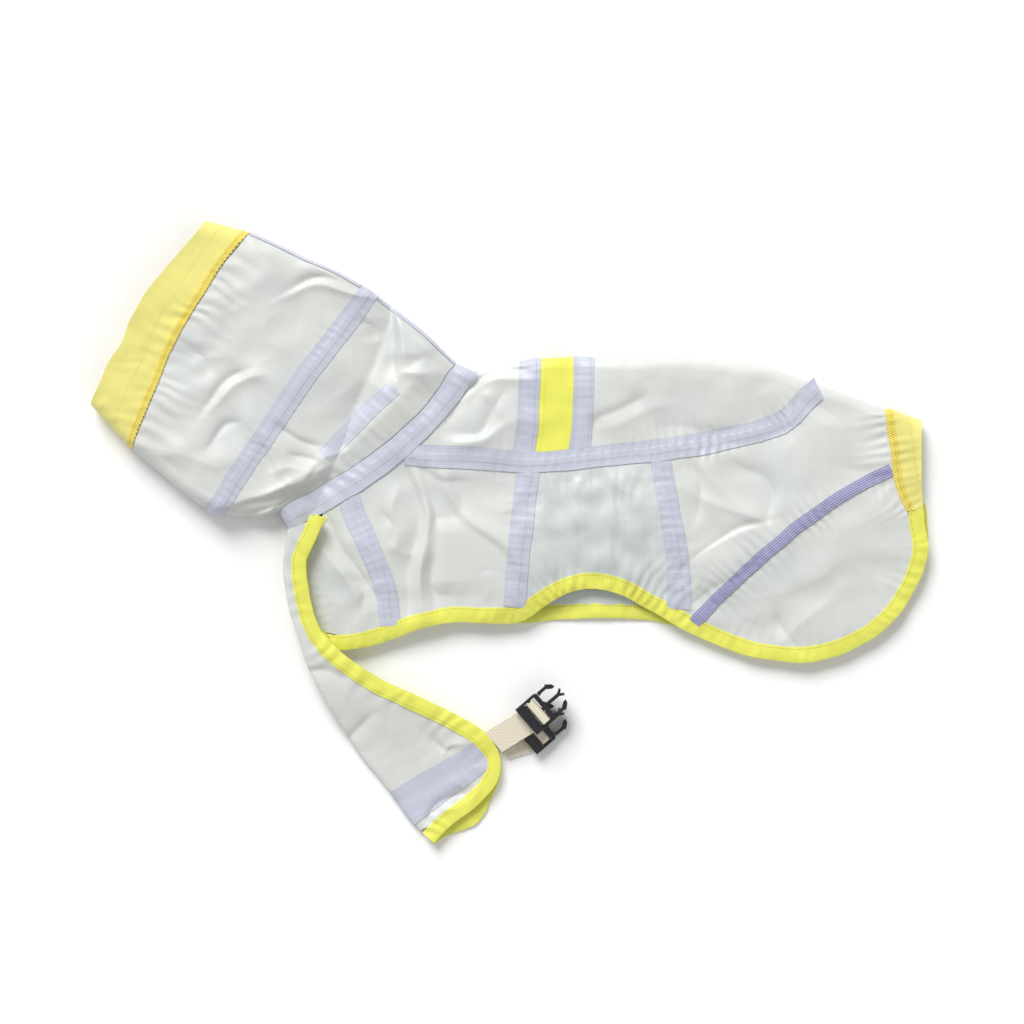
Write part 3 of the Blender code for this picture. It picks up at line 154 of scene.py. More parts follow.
# Each fold, all in mm: its points in plan, its height, and its width to the left and to the right.
FOLDS = (
    # hood, front panel
    (((-207.9, 221.1), (-177.2, 230.4), (-133.5, 234.1)), -2.6, 5, 12),
    (((-210.6, 215.5), (-177.2, 223.9), (-136.2, 226.6)), 1.8, 8, 4),
    (((-193.9, 253.6), (-173.4, 240.6), (-145.5, 233.2)), 1.3, 5, 7),
    (((-282.3, 116.0), (-266.4, 132.7), (-242.3, 145.7)), -2.6, 6, 16),
    (((-275.7, 112.3), (-253.4, 129.0), (-229.2, 142.0)), 1.8, 12, 6),
    (((-275.7, 84.4), (-263.7, 97.4), (-246.9, 99.2)), -2.0, 5, 12),
    (((-307.4, 177.4), (-290.6, 166.2), (-282.3, 143.9)), -1.5, 6, 10),
    (((-333.4, 88.1), (-300.9, 78.8), (-266.4, 60.2)), 1.2, 16, 12),
    (((-254.4, 264.8), (-229.2, 218.3), (-193.9, 190.4)), 1.0, 30, 22),
    (((-326.0, 76.9), (-290.6, 45.3), (-257.1, 32.3)), -1.2, 10, 14),
    (((-260.9, 248.0), (-251.6, 218.3), (-262.7, 190.4)), -0.8, 14, 12),
    # hood, rear panel
    (((-117.6, 218.3), (-108.3, 185.7), (-94.4, 145.7)), -2.8, 5, 14),
    (((-112.1, 218.3), (-100.0, 185.7), (-85.1, 151.3)), 2.0, 10, 6),
    (((-141.8, 197.8), (-132.5, 192.2), (-126.0, 179.2)), -1.2, 4, 8),
    (((-77.7, 169.9), (-84.2, 155.0), (-82.3, 140.2)), -1.4, 6, 9),
    (((-97.2, 132.7), (-90.7, 145.7), (-75.8, 151.3)), 1.5, 6, 7),
    (((-162.3, 169.9), (-145.5, 145.7), (-119.5, 132.7)), 0.9, 16, 12),
    (((-215.3, 103.0), (-193.9, 89.9), (-173.4, 81.6)), -1.6, 4, 8),
    (((-203.2, 74.1), (-186.5, 71.3), (-177.2, 67.6)), -1.2, 3, 5),
    (((-225.5, 60.2), (-207.9, 63.9), (-192.0, 60.2)), 1.2, 5, 5),
    (((-233.0, 84.4), (-228.3, 73.2), (-223.7, 60.2)), -1.2, 4, 8),
    (((-257.1, 21.1), (-229.2, 37.9), (-182.7, 47.2)), -2.2, 4, 7),
    (((-251.6, 27.6), (-223.7, 44.4), (-180.9, 51.8)), 1.8, 5, 4),
    (((-244.1, 21.1), (-216.2, 31.3), (-193.9, 39.7)), -1.6, 3, 5),
    (((-234.8, 34.1), (-205.1, 52.7), (-166.0, 60.2)), 1.2, 6, 5),
    (((-208.8, 39.7), (-188.3, 50.9), (-179.0, 60.2)), -1.3, 4, 6),
    (((-193.9, 50.9), (-173.4, 67.6), (-145.5, 73.2)), 1.0, 6, 6),
    # back yoke
    (((-35.8, 133.6), (-15.3, 144.8), (10.7, 154.1)), -2.4, 4, 9),
    (((-43.2, 125.3), (-17.2, 136.4), (12.6, 143.9)), 1.8, 7, 5),
    (((-65.6, 108.5), (-47.0, 125.3), (-22.8, 138.3)), -1.8, 6, 10),
    (((-56.3, 103.0), (-24.6, 101.1), (-7.9, 114.1), (-0.5, 127.1)), -1.8, 8, 5),
    (((-52.5, 93.7), (-20.9, 93.7), (3.3, 103.0)), 1.3, 6, 6),
    (((-19.1, 127.1), (-7.9, 123.4), (-2.3, 112.3)), 1.0, 5, 5),
    # saddle panel
    (((82.3, 93.7), (88.8, 114.1), (122.3, 125.3)), -1.6, 6, 12),
    (((88.8, 99.2), (122.3, 112.3), (152.1, 114.1)), 1.0, 10, 8),
    (((96.3, 138.3), (140.9, 145.7), (189.3, 140.2)), 0.9, 22, 18),
    (((140.9, 97.4), (178.1, 101.1), (215.3, 111.3)), -1.0, 6, 8),
    (((178.1, 125.3), (217.2, 129.0), (252.5, 132.7)), 0.8, 16, 12),
    # front side panel
    (((-97.2, 60.2), (-87.9, 18.3), (-89.7, -23.5), (-95.3, -68.2)), -2.8, 5, 14),
    (((-91.6, 56.5), (-78.6, 13.7), (-78.6, -29.1), (-82.3, -71.9)), 2.4, 9, 7),
    (((-84.2, 52.7), (-67.4, 4.4), (-65.6, -37.5), (-61.8, -71.9)), -2.0, 7, 12),
    (((-73.0, 50.9), (-50.7, 4.4), (-30.2, -34.7), (-22.8, -64.4)), 1.6, 14, 12),
    (((-56.3, 32.3), (-30.2, -4.9), (-3.3, -29.1)), -1.4, 10, 14),
    (((-115.8, 23.0), (-108.3, 13.7), (-106.5, -1.2)), -1.5, 4, 7),
    (((-102.8, 39.7), (-108.3, 21.1), (-104.6, -4.9)), 1.4, 6, 6),
    (((-43.2, 52.7), (-35.8, 32.3), (-41.4, 13.7)), -0.8, 10, 12),
    (((-74.9, 54.6), (-58.1, 21.1), (-37.7, -12.4), (-15.3, -29.1)), -1.8, 8, 16),
    (((-63.7, 60.2), (-43.2, 26.7), (-19.1, -4.9), (-0.5, -19.8)), 1.6, 12, 10),
    (((-35.8, -23.5), (-28.4, -45.8), (-20.9, -66.3)), -1.4, 7, 10),
    (((-84.2, 60.2), (-63.7, 49.0), (-35.8, 50.9)), -1.0, 4, 8),
    # shoulder panel
    (((-173.4, 21.1), (-149.3, -12.4), (-126.9, -60.7)), -2.2, 4, 12),
    (((-179.0, 13.7), (-158.6, -23.5), (-138.1, -70.0)), 1.5, 10, 5),
    (((-145.5, -37.5), (-136.2, -53.3), (-138.1, -71.9)), -1.0, 5, 7),
    # rump
    (((217.2, 71.3), (241.3, 44.4), (239.5, 12.7)), -2.2, 5, 16),
    (((168.8, 30.4), (206.0, 24.8), (237.6, 12.7)), 1.5, 12, 10),
    (((237.6, 11.8), (202.3, -1.2), (170.7, -25.4)), -1.8, 12, 5),
    (((170.7, 60.2), (178.1, 39.7), (168.8, 13.7)), -1.2, 6, 10),
    (((247.8, 60.2), (282.3, 88.1), (317.6, 102.0)), 1.0, 24, 20),
    (((271.1, 117.8), (306.4, 106.7), (334.3, 91.8)), -0.8, 14, 10),
    (((280.4, 60.2), (308.3, 67.6), (338.1, 67.6)), -0.7, 12, 12),
    (((181.8, 60.2), (217.2, 32.3), (232.0, 13.7)), 1.2, 8, 14),
    (((178.1, -19.8), (204.1, -4.9), (232.0, 4.4)), 1.8, 8, 10),
    (((168.8, -60.7), (196.7, -49.6), (226.5, -25.4)), -1.2, 6, 12),
    (((196.7, 99.2), (233.9, 88.1), (271.1, 89.9)), -0.9, 8, 14),
    # thigh flap
    (((254.4, -77.5), (263.7, -92.3), (271.1, -105.4)), -1.1, 5, 7),
    (((291.6, -66.3), (271.1, -86.8), (258.1, -97.9)), 0.9, 8, 8),
    (((217.2, -60.7), (261.8, -47.7), (304.6, -29.1)), 0.9, 18, 16),
    (((317.6, 13.7), (338.1, -14.2), (345.5, -51.4)), -0.7, 16, 16),
)
BIB_FOLDS = (
    (((-155.8, -188.1), (-141.8, -177.9), (-126.9, -168.6)), -1.2, 4, 6),
    (((-186.5, -130.5), (-173.4, -126.8), (-156.7, -129.5)), -1.3, 4, 7),
    (((-177.2, -86.8), (-147.4, -144.4), (-108.3, -192.8)), 0.8, 20, 16),
    (((-71.1, -190.9), (-56.3, -198.4), (-43.2, -192.8)), -1.1, 4, 5),
    (((-58.1, -202.1), (-48.8, -192.8), (-32.1, -189.1)), 1.0, 4, 4),
    (((-73.0, -265.3), (-58.1, -248.6), (-39.5, -237.4)), -1.2, 3, 5),
    (((-65.6, -269.0), (-49.8, -254.2), (-30.2, -237.4)), 1.0, 4, 3),
    (((-49.8, -237.4), (-43.2, -246.7), (-47.0, -252.3)), -0.9, 3, 4),
)
FOLD_STEPS = 6


def fold_lines(table):
    """The table's folds as smooth lines in metres, with their heights and widths as given."""
    return [(smooth(np.array(points) / 1000, FOLD_STEPS), *sizes) for points, *sizes in table]


FOLD_LINES = fold_lines(FOLDS)
BIB_FOLD_LINES = fold_lines(BIB_FOLDS)

# Seams and edges in plan, in metres.
NECK = ((-0.048, 0.158), (-0.107, 0.091), (-0.213, 0.022))
HOOD_BAND = ((-0.241, 0.279), (-0.302, 0.190), (-0.349, 0.079))
HOOD_SEAM = ((-0.128, 0.226), (-0.193, 0.139), (-0.274, 0.019))


def bow(points, count=40):
    """The quadratic line through three points, as the CAD draws the seams round the hood."""
    a, b, c = (np.array(p) for p in points)
    t = np.linspace(0, 1, count + 1)[:, None]
    return a * (1 - t) * (1 - 2 * t) + b * 4 * t * (1 - t) + c * t * (2 * t - 1)


SIDE_SEAM = smooth(
    (
        (-0.112, 0.086),
        (-0.093, 0.074),
        (-0.027, 0.070),
        (0.020, 0.068),
        (0.078, 0.072),
        (0.150, 0.080),
        (0.213, 0.090),
        (0.252, 0.103),
        (0.270, 0.118),
        (0.279, 0.129),
    )
)
HEM_FRONT = (
    (-0.182, 0.0155),
    (-0.197, -0.024),
    (-0.199, -0.062),
    (-0.190, -0.092),
    (-0.170, -0.108),
    (-0.132, -0.105),
    (-0.093, -0.091),
    (-0.054, -0.082),
    (0.004, -0.083),
)
HEM_REAR = (
    (0.160, -0.087),
    (0.188, -0.099),
    (0.236, -0.116),
    (0.288, -0.118),
    (0.337, -0.099),
    (0.374, -0.061),
    (0.390, -0.020),
    (0.388, 0.010),
)
ARCH = ((0.029, -0.070), (0.054, -0.055), (0.079, -0.049), (0.104, -0.055), (0.132, -0.070))
NEAR_HEM = smooth(HEM_FRONT + ARCH + HEM_REAR)
FAR_HEM = smooth(HEM_FRONT + ((0.066, -0.078), (0.120, -0.079)) + HEM_REAR)
ELASTIC = smooth(((0.352, 0.058), (0.312, 0.037), (0.262, 0.004), (0.224, -0.030), (0.190, -0.074)))
CUFF = smooth(((0.350, 0.116), (0.354, 0.088), (0.359, 0.050), (0.367, 0.031), (0.3745, 0.017)))
DART = np.array(((-0.108, 0.137), (-0.171, 0.074)))
SHOULDER = smooth(((-0.1465, 0.0332), (-0.1316, -0.0049), (-0.1176, -0.0375), (-0.1102, -0.0905)))
FLANK_FRONT = np.array(((0.0181, 0.0602), (0.0042, -0.0719)))
FLANK_REAR = smooth(((0.139, 0.0695), (0.1502, 0.0165), (0.1567, -0.0328), (0.1604, -0.0756)))
STRIPE_FRONT = np.array(((0.0219, 0.1662), (0.0172, 0.0769)))
STRIPE_MIDDLE = np.array(((0.0479, 0.1662), (0.0423, 0.0769)))
STRIPE_REAR = np.array(((0.073, 0.1662), (0.0674, 0.0769)))
BIB_EDGE = smooth(
    (
        (-0.184, 0.014),
        (-0.199, -0.021),
        (-0.196, -0.060),
        (-0.184, -0.096),
        (-0.157, -0.124),
        (-0.119, -0.148),
        (-0.076, -0.168),
        (-0.051, -0.180),
        (-0.032, -0.192),
        (-0.021, -0.206),
        (-0.0190, -0.2180),
        (-0.0265, -0.2320),
        (-0.0430, -0.2480),
        (-0.0600, -0.2615),
        (-0.0725, -0.2730),
        (-0.0790, -0.2800),
    )
)
BIB_TAPE = np.array(((-0.098, -0.259), (-0.0195, -0.2125)))
STRAP_TURN = math.radians(41.0)
STRAP_START = np.array((-0.0140, -0.1930))
STRAP = np.array((STRAP_START, STRAP_START + 0.08 * np.array((math.cos(STRAP_TURN), math.sin(STRAP_TURN)))))

# Puckers along the seams: line, height mm, wavelength mm, reach mm, and the share of the line.
PUCKERS = (
    (SIDE_SEAM, 0.85, 9.0, 12.0, (0.58, 1.0)),
    (SIDE_SEAM, 0.35, 11.0, 12.0, (0.0, 0.62)),
    (bow(HOOD_BAND), 0.8, 13.0, 16.0, (0.0, 1.0)),
    (bow(HOOD_SEAM), 0.30, 9.0, 9.0, (0.0, 1.0)),
    (bow(NECK), 0.55, 12.0, 13.0, (0.0, 1.0)),
    (ELASTIC, 0.75, 9.0, 13.0, (0.0, 1.0)),
    (CUFF, 0.8, 9.0, 13.0, (0.0, 1.0)),
    (NEAR_HEM, 0.45, 12.0, 14.0, (0.0, 1.0)),
    (smooth(((0.004, -0.083),) + ARCH + ((0.160, -0.087),)), 0.9, 9.5, 20.0, (0.0, 1.0)),
    (FLANK_FRONT, 0.4, 12.0, 8.0, (0.0, 1.0)),
    (FLANK_REAR, 0.4, 12.0, 8.0, (0.0, 1.0)),
)


FOLD_SCALE = 2.0
FOLD_POWER = 1.3
FOLD_OVERRUN = 0.35
FOLD_FADE = 0.55
PUCKER_SCALE = 1.6
FOLD_MARGIN = 0.045
PUCKER_MARGIN = 0.05
SEAM_HALF = 0.005


def fold_sum(p, lines):
    total = np.zeros(len(p))
    for line, height, left, right in lines:
        lo, hi = line.min(0) - FOLD_MARGIN, line.max(0) + FOLD_MARGIN
        near = np.all((p > lo) & (p < hi), axis=1)
        if not near.any():
            continue
        s, d, whole = along(p[near], line)
        wide = np.where(d > 0, left, right) / 1000
        t = np.clip(s / whole, -FOLD_OVERRUN, 1 + FOLD_OVERRUN)
        fade = np.clip(np.minimum(t + 0.3, 1.3 - t) / FOLD_FADE, 0, 1)
        fade = fade * fade * (3 - 2 * fade)
        total[near] += FOLD_SCALE * height / 1000 * fade * np.exp(-((np.abs(d) / wide) ** FOLD_POWER))
    return total


def pucker_sum(p):
    total = np.zeros(len(p))
    for number, (line, height, wave, reach, (first, last)) in enumerate(PUCKERS):
        lo, hi = line.min(0) - PUCKER_MARGIN, line.max(0) + PUCKER_MARGIN
        near = np.all((p > lo) & (p < hi), axis=1)
        if not near.any():
            continue
        q = p[near]
        s, d, whole = along(q, line)
        t = s / whole
        inside = np.clip((t - first) / 0.03, 0, 1) * np.clip((last - t) / 0.03, 0, 1)
        jitter = 1.3 * MEDIUM(q + number) + 1.8 * SOFT(q - number)
        strength = 0.35 + 0.65 * np.clip(0.5 + PATCH(q * 2.3 + number), 0, 1)
        shape = np.sin(2 * math.pi * s / (wave / 1000) + jitter)
        away = np.abs(d)
        shape *= np.clip(away / SEAM_HALF, 0.25, 1) * np.exp(-away / (reach / 1000))
        total[near] += PUCKER_SCALE * height / 1000 * inside * strength * shape
    return total


FLANK_X = (0.020, 0.142)
FLANK_Y = (-0.085, 0.062)
GATHER_WAVES = (0.021, 0.0125)
GATHER_HEIGHT = 0.00055
CROSS_HEIGHT = 0.0006


def flank_gathers(p):
    """The thin flank panel is gathered: short upright folds with a few crossing ones."""
    inside = np.clip((p[:, 0] - FLANK_X[0]) / 0.02, 0, 1) * np.clip((FLANK_X[1] - p[:, 0]) / 0.02, 0, 1)
    inside *= np.clip((FLANK_Y[1] - p[:, 1]) / 0.012, 0, 1) * np.clip((p[:, 1] - FLANK_Y[0]) / 0.02, 0, 1)
    lean = p[:, 0] + 0.12 * (p[:, 1] - 0.06) + 0.004 * WANDER_X(p * 1.7)
    long_wave, short_wave = (2 * math.pi * lean / wave for wave in GATHER_WAVES)
    upright = np.sin(long_wave) + 0.7 * np.sin(short_wave + 2 * SOFT(p))
    upright *= 0.5 + 0.5 * np.clip(PATCH(p * 3) + 0.4, 0, 1)
    cross = FINE(p * 0.55) + 0.8 * MEDIUM(p * 1.4)
    return inside * (GATHER_HEIGHT * upright + CROSS_HEIGHT * cross)


# How strongly the random fields show in the upper layer, and the raised stretch of its front hem.
SWELL = 0.0014
RIPPLE = 0.00055
CRINKLE = 0.00008
RIDGE = 0.0007
HEM_BUMP_AT = (-0.068, -0.088)
HEM_BUMP_SIZE = (0.030, 0.022)
HEM_BUMP_HEIGHT = 0.0035


def near_field(p):
    """Height of the folds in the upper layer of the coat and hood."""
    q = p + 0.006 * np.stack([WANDER_X(p), WANDER_Y(p)], axis=1)
    total = fold_sum(q, FOLD_LINES) + pucker_sum(p) + flank_gathers(p)
    ridged = 1 - np.abs(MEDIUM(q * 0.8))
    total += SWELL * SOFT(p) + RIPPLE * MEDIUM(q) + CRINKLE * FINE(q)
    total += RIDGE * ridged * np.clip(PATCH(p) + 0.2, 0, 1)
    away = (p - HEM_BUMP_AT) / HEM_BUMP_SIZE
    return total + HEM_BUMP_HEIGHT * np.exp(-(away**2).sum(axis=1))


def bib_field(p):
    """Height of the folds in the bib."""
    q = p + 0.004 * np.stack([WANDER_X(p * 1.5), WANDER_Y(p * 1.5)], axis=1)
    s, d, _ = along(p, BIB_EDGE)
    edge = 0.0005 * np.sin(2 * math.pi * s / 0.017 + 2 * SOFT(p * 2)) * np.exp(-np.abs(d) / 0.012)
    loose = 0.0006 * SOFT(p * 1.3) + 0.0002 * MEDIUM(q) + 0.00004 * FINE(q)
    return fold_sum(q, BIB_FOLD_LINES) + edge + loose


def far_field(p):
    """Height of the lower layer's folds, which can only stand up from the floor."""
    return np.abs(0.0010 * SOFT(p + 3) + 0.0005 * MEDIUM(p + 3))


HEM_SETTLING = 0.42
HEM_REACH = 0.030


def settle(p):
    """How much of its lift the upper layer keeps: the cloth lies lower towards the hems."""
    _, d, _ = along(p, NEAR_HEM)
    return 1 - HEM_SETTLING * np.exp(-np.abs(d) / HEM_REACH)


# Soft slides in plan: centre, radius, shift, and the height above which nothing slides.
EVERY_LAYER = 1.0
LOWER_LAYER = 0.0042
LAYER_FADE = 0.0015
SLIDES = {
    "all": (
        ((0.045, 0.115), 0.050, (0.0035, 0.0), EVERY_LAYER),
        ((-0.350, 0.176), 0.014, (0.0050, -0.0015), EVERY_LAYER),
    ),
    "coat": (((-0.184, -0.008), 0.032, (-0.0062, -0.0010), EVERY_LAYER),),
    "bib": (((-0.0400, -0.2600), 0.028, (0.0090, -0.0095), LOWER_LAYER),),
}


def slid(points, slides):
    """Points moved in plan by soft slides."""
    out = points.copy()
    for (x, y), radius, (dx, dy), top in slides:
        share = np.exp(-((points[:, 0] - x) ** 2 + (points[:, 1] - y) ** 2) / radius**2)
        share *= np.clip((top - points[:, 2]) / LAYER_FADE, 0, 1)
        out[:, 0] += dx * share
        out[:, 1] += dy * share
    return out


SHELTER_FADE = 0.014
NEAR_SOCKET = ((-0.060, 0.004), (-0.043, 0.003))
FAR_SOCKET = ((0.045, 0.109), (-0.035, 0.011))
# Where the lower layer ends and the upper one begins, how thick the change is, and the floor's gap.
FAR_TOP = 0.0046
LIFT_START = 0.0050
COAT_LIFT = 0.0060
BIB_LIFT = 0.0030
FLOOR_GAP = 0.0002
DRIFT = 0.0007
JITTER = 0.0003


def shelter(p, x, y):
    """1 over a rectangle of the plan, fading to 0 around it."""
    dx = np.maximum(np.maximum(x[0] - p[:, 0], p[:, 0] - x[1]), 0)
    dy = np.maximum(np.maximum(y[0] - p[:, 1], p[:, 1] - y[1]), 0)
    return np.clip(1 - np.hypot(dx, dy) / SHELTER_FADE, 0, 1)


def bent(points, part):
    """Points moved by the folds. part is coat, bib or rigid."""
    p = points[:, :2]
    z = points[:, 2]
    if part == "rigid":
        return points.copy()
    out = slid(slid(points, SLIDES["all"]), SLIDES[part])
    if part == "bib":
        share = np.clip((z - LIFT_START) / BIB_LIFT, 0, 1)
        move = bib_field(p)
        out[:, 2] += share * move + (1 - share) * np.abs(move) * 0.3
    else:
        share = np.clip((z - LIFT_START) / COAT_LIFT, 0, 1)
        share = share * share * (3 - 2 * share)
        moved = np.where(z > FAR_TOP, (z - FAR_TOP) * (settle(p) - 1), 0)
        moved += share * near_field(p) + (1 - share) * far_field(p)
        # the sockets sewn between the layers keep their room
        near_room = share * shelter(p, *NEAR_SOCKET)
        far_room = (1 - share) * shelter(p, *FAR_SOCKET)
        moved *= np.where(moved < 0, 1 - near_room, 1 - far_room)
        out[:, 2] += moved
    out[:, 0] += DRIFT * WANDER_X(p) + JITTER * MEDIUM(p)
    out[:, 1] += DRIFT * WANDER_Y(p) + JITTER * MEDIUM(p + 1)
    out[:, 2] = np.maximum(out[:, 2], FLOOR_GAP)
    return out


# ---------------------------------------------------------------- materials


class Look:
    """A material and short ways to add nodes to it."""

    def __init__(self, name, colour, roughness, **inputs):
        self.material = bpy.data.materials.new(name)
        self.material.use_nodes = True
        self.tree = self.material.node_tree
        self.shader = self.tree.nodes["Principled BSDF"]
        self.colour = colour
        self.shader.inputs["Base Color"].default_value = (*colour, 1)
        self.shader.inputs["Roughness"].default_value = roughness
        for key, value in inputs.items():
            self.shader.inputs[key.replace("_", " ")].default_value = value
        self.height = None
        self.tint = None
        self.material.diffuse_color = (*colour, 1)

    def add(self, kind, **settings):
        node = self.tree.nodes.new(kind)
        for key, value in settings.items():
            setattr(node, key, value)
        return node

    def link(self, a, b):
        self.tree.links.new(a, b)

    def place(self, strip):
        """Coordinates in metres: along and across a strip, or in the frame."""
        if strip:
            return self.add("ShaderNodeUVMap", uv_map="strip").outputs["UV"]
        return self.add("ShaderNodeTexCoord").outputs["Object"]

    def split(self, place):
        node = self.add("ShaderNodeSeparateXYZ")
        self.link(place, node.inputs[0])
        return node.outputs[0], node.outputs[1]

    def value(self, operation, a, b=0.0, c=0.0):
        node = self.add("ShaderNodeMath", operation=operation)
        for i, x in enumerate((a, b, c)):
            if isinstance(x, (int, float)):
                node.inputs[i].default_value = x
            else:
                self.link(x, node.inputs[i])
        return node.outputs[0]

    def noise(self, place, scale, detail=3.0, rough=0.55):
        mapping = self.add("ShaderNodeMapping")
        mapping.inputs["Scale"].default_value = scale
        self.link(place, mapping.inputs["Vector"])
        noise = self.add("ShaderNodeTexNoise")
        noise.inputs["Scale"].default_value = 1.0
        noise.inputs["Detail"].default_value = detail
        noise.inputs["Roughness"].default_value = rough
        self.link(mapping.outputs[0], noise.inputs["Vector"])
        return noise.outputs["Fac"]

    def wave(self, coordinate, period):
        """0 to 1, once each period of a coordinate in metres."""
        angle = self.value("MULTIPLY", coordinate, 2 * math.pi / period)
        return self.value("MULTIPLY_ADD", self.value("SINE", angle), 0.5, 0.5)

    def band(self, coordinate, centre, half, soft=0.0002):
        """1 within half of centre, fading to 0 over soft outside it."""
        gap = self.value("ABSOLUTE", self.value("SUBTRACT", coordinate, centre))
        return self.clamp(self.value("MULTIPLY_ADD", gap, -1 / soft, (half + soft) / soft))

    def clamp(self, x):
        node = self.add("ShaderNodeClamp")
        self.link(x, node.inputs[0])
        return node.outputs[0]

    def raise_by(self, factor, metres):
        part = self.value("MULTIPLY", factor, metres)
        self.height = part if self.height is None else self.value("ADD", self.height, part)

    def paint(self, factor, colour):
        mix = self.add("ShaderNodeMix", data_type="RGBA")
        if self.tint is None:
            mix.inputs["A"].default_value = (*self.colour, 1)
        else:
            self.link(self.tint, mix.inputs["A"])
        mix.inputs["B"].default_value = (*colour, 1)
        self.link(factor, mix.inputs["Factor"])
        self.tint = mix.outputs["Result"]

    def shift(self, factor, amount):
        """Scales the colour by 1 - amount to 1 + amount."""
        scale = self.value("MULTIPLY_ADD", factor, 2 * amount, 1 - amount)
        node = self.add("ShaderNodeVectorMath", operation="SCALE")
        if self.tint is None:
            node.inputs[0].default_value = self.colour
        else:
            self.link(self.tint, node.inputs[0])
        self.link(scale, node.inputs["Scale"])
        self.tint = node.outputs[0]

    def stitches(self, u, v, centre, period, colour, half, metres):
        """A row of stitches along u, each raised out of a shallow groove."""
        duty = 0.68
        row = self.band(v, centre, half)
        wave = self.wave(u, period)
        dash = self.clamp(self.value("MULTIPLY_ADD", wave, 6.0, -6.0 * (1 - duty)))
        mark = self.value("MULTIPLY", row, dash)
        self.paint(mark, colour)
        self.raise_by(mark, metres)
        self.raise_by(row, -metres * 0.8)

    def done(self):
        """Joins colour and height to the shader. Heights are in metres."""
        if self.tint is not None:
            self.link(self.tint, self.shader.inputs["Base Color"])
        if self.height is not None:
            bump = self.add("ShaderNodeBump")
            bump.inputs["Strength"].default_value = 1.0
            bump.inputs["Distance"].default_value = 1.0
            self.link(self.height, bump.inputs["Height"])
            self.link(bump.outputs[0], self.shader.inputs["Normal"])
        return self.material


def weave(look, place, threads, metres, tone):
    """Crossed threads as stretched noise, for height and for colour."""
    fine, coarse = threads
    warp = look.noise(place, (fine, coarse, coarse), 2.0)
    weft = look.noise(place, (coarse, fine, coarse), 2.0)
    cross = look.value("ADD", warp, weft)
    look.raise_by(cross, metres)
    look.shift(look.value("MULTIPLY", cross, 0.5), tone)


# Periods and half widths of what the materials draw, in metres.
RIPSTOP = 0.0026
FLANK_RIB = 0.0023
ALLOWANCE_HALF = 0.0030
ALLOWANCE_GROOVE = 0.0034
STITCH = 0.0032
SOFTSHELL_STITCH = 0.0030
STITCH_HALF = 0.0003
LAVENDER = (0.530, 0.548, 0.640)


def cloth_look(name, colour, roughness, ribs=0.0):
    """Coated cloth with a faint ripstop grid, in warm and cool patches. ribs is the height of its cords."""
    look = Look(name, colour, roughness, Sheen_Weight=0.12, Coat_Weight=0.06, Coat_Roughness=0.50)
    place = look.place(False)
    weave(look, place, (1100, 160), 0.00006, 0.045)
    look.shift(look.noise(place, (9, 9, 9), 3.0), 0.035)
    blotch = look.noise(place, (26, 26, 26), 4.0, 0.6)
    warm = look.clamp(look.value("MULTIPLY_ADD", blotch, 2.4, -1.05))
    look.paint(look.value("MULTIPLY", warm, 0.22), (0.70, 0.69, 0.61))
    shade = look.noise(place, (13, 13, 13), 4.0)
    cool = look.clamp(look.value("MULTIPLY_ADD", shade, 3.2, -1.45))
    look.paint(look.value("MULTIPLY", cool, 0.42), (0.49, 0.55, 0.58))
    x, y = look.split(place)
    grid = look.value("MAXIMUM", look.wave(x, RIPSTOP), look.wave(y, RIPSTOP))
    look.raise_by(look.value("POWER", grid, 8.0), 0.000012)
    if ribs:
        rib = look.wave(x, FLANK_RIB)
        look.raise_by(rib, ribs)
        look.shift(rib, 0.05)
    return look.done()


def tape_look(name, colour, double=True):
    """Seam tape. A double one shows the seam allowance below as a low ridge between two grooves darkened
    with painted shade.
    """
    look = Look(name, colour, 0.42, Coat_Weight=0.15, Coat_Roughness=0.4)
    place = look.place(True)
    u, v = look.split(place)
    weave(look, place, (1300, 120), 0.00006, 0.05)
    rows = look.wave(v, 0.0021)
    look.raise_by(rows, 0.00004)
    look.shift(rows, 0.035)
    look.shift(look.wave(u, 0.0031), 0.02)
    if double:
        look.raise_by(look.band(v, 0.0, ALLOWANCE_HALF, 0.0010), 0.00016)
        # painted shade: each groove along the ridge's edge is lowered and painted darker
        for centre in (-ALLOWANCE_GROOVE, ALLOWANCE_GROOVE):
            mark = look.band(v, centre, 0.00025, 0.0004)
            look.raise_by(mark, -0.00007)
            look.paint(look.value("MULTIPLY", mark, 0.16), tuple(c * 0.75 for c in colour))
    look.shift(look.band(v, 0.0, 0.0092, 0.0006), 0.03)
    look.raise_by(look.noise(place, (260, 40, 40), 3.0), 0.00035)
    look.shift(look.noise(place, (30, 60, 30), 3.0), 0.05)
    return look.done()


def binding_look(name, colour, stitch_at):
    """A folded binding. The strip map's v runs from its inner edge."""
    look = Look(name, colour, 0.50, Sheen_Weight=0.15)
    place = look.place(True)
    u, v = look.split(place)
    weave(look, place, (900, 180), 0.00007, 0.04)
    look.raise_by(look.noise(place, (120, 60, 60), 3.0), 0.0005)
    look.shift(look.noise(place, (60, 80, 60), 3.0), 0.06)
    thread = tuple(c * 0.78 for c in colour)
    look.stitches(u, v, stitch_at, STITCH, thread, STITCH_HALF, 0.0002)
    return look.done()


def stripe_look(name, colour, stitch_at):
    """The bright stripe, with a row of stitches near each edge."""
    look = Look(name, colour, 0.42, Coat_Weight=0.2, Coat_Roughness=0.4)
    place = look.place(True)
    u, v = look.split(place)
    weave(look, place, (900, 200), 0.00005, 0.03)
    look.raise_by(look.noise(place, (40, 90, 40), 3.0), 0.0007)
    look.shift(look.noise(place, (30, 60, 30), 3.0), 0.05)
    for row in (stitch_at, -stitch_at):
        look.stitches(u, v, row, STITCH, (0.70, 0.72, 0.09), STITCH_HALF, 0.0001)
    return look.done()


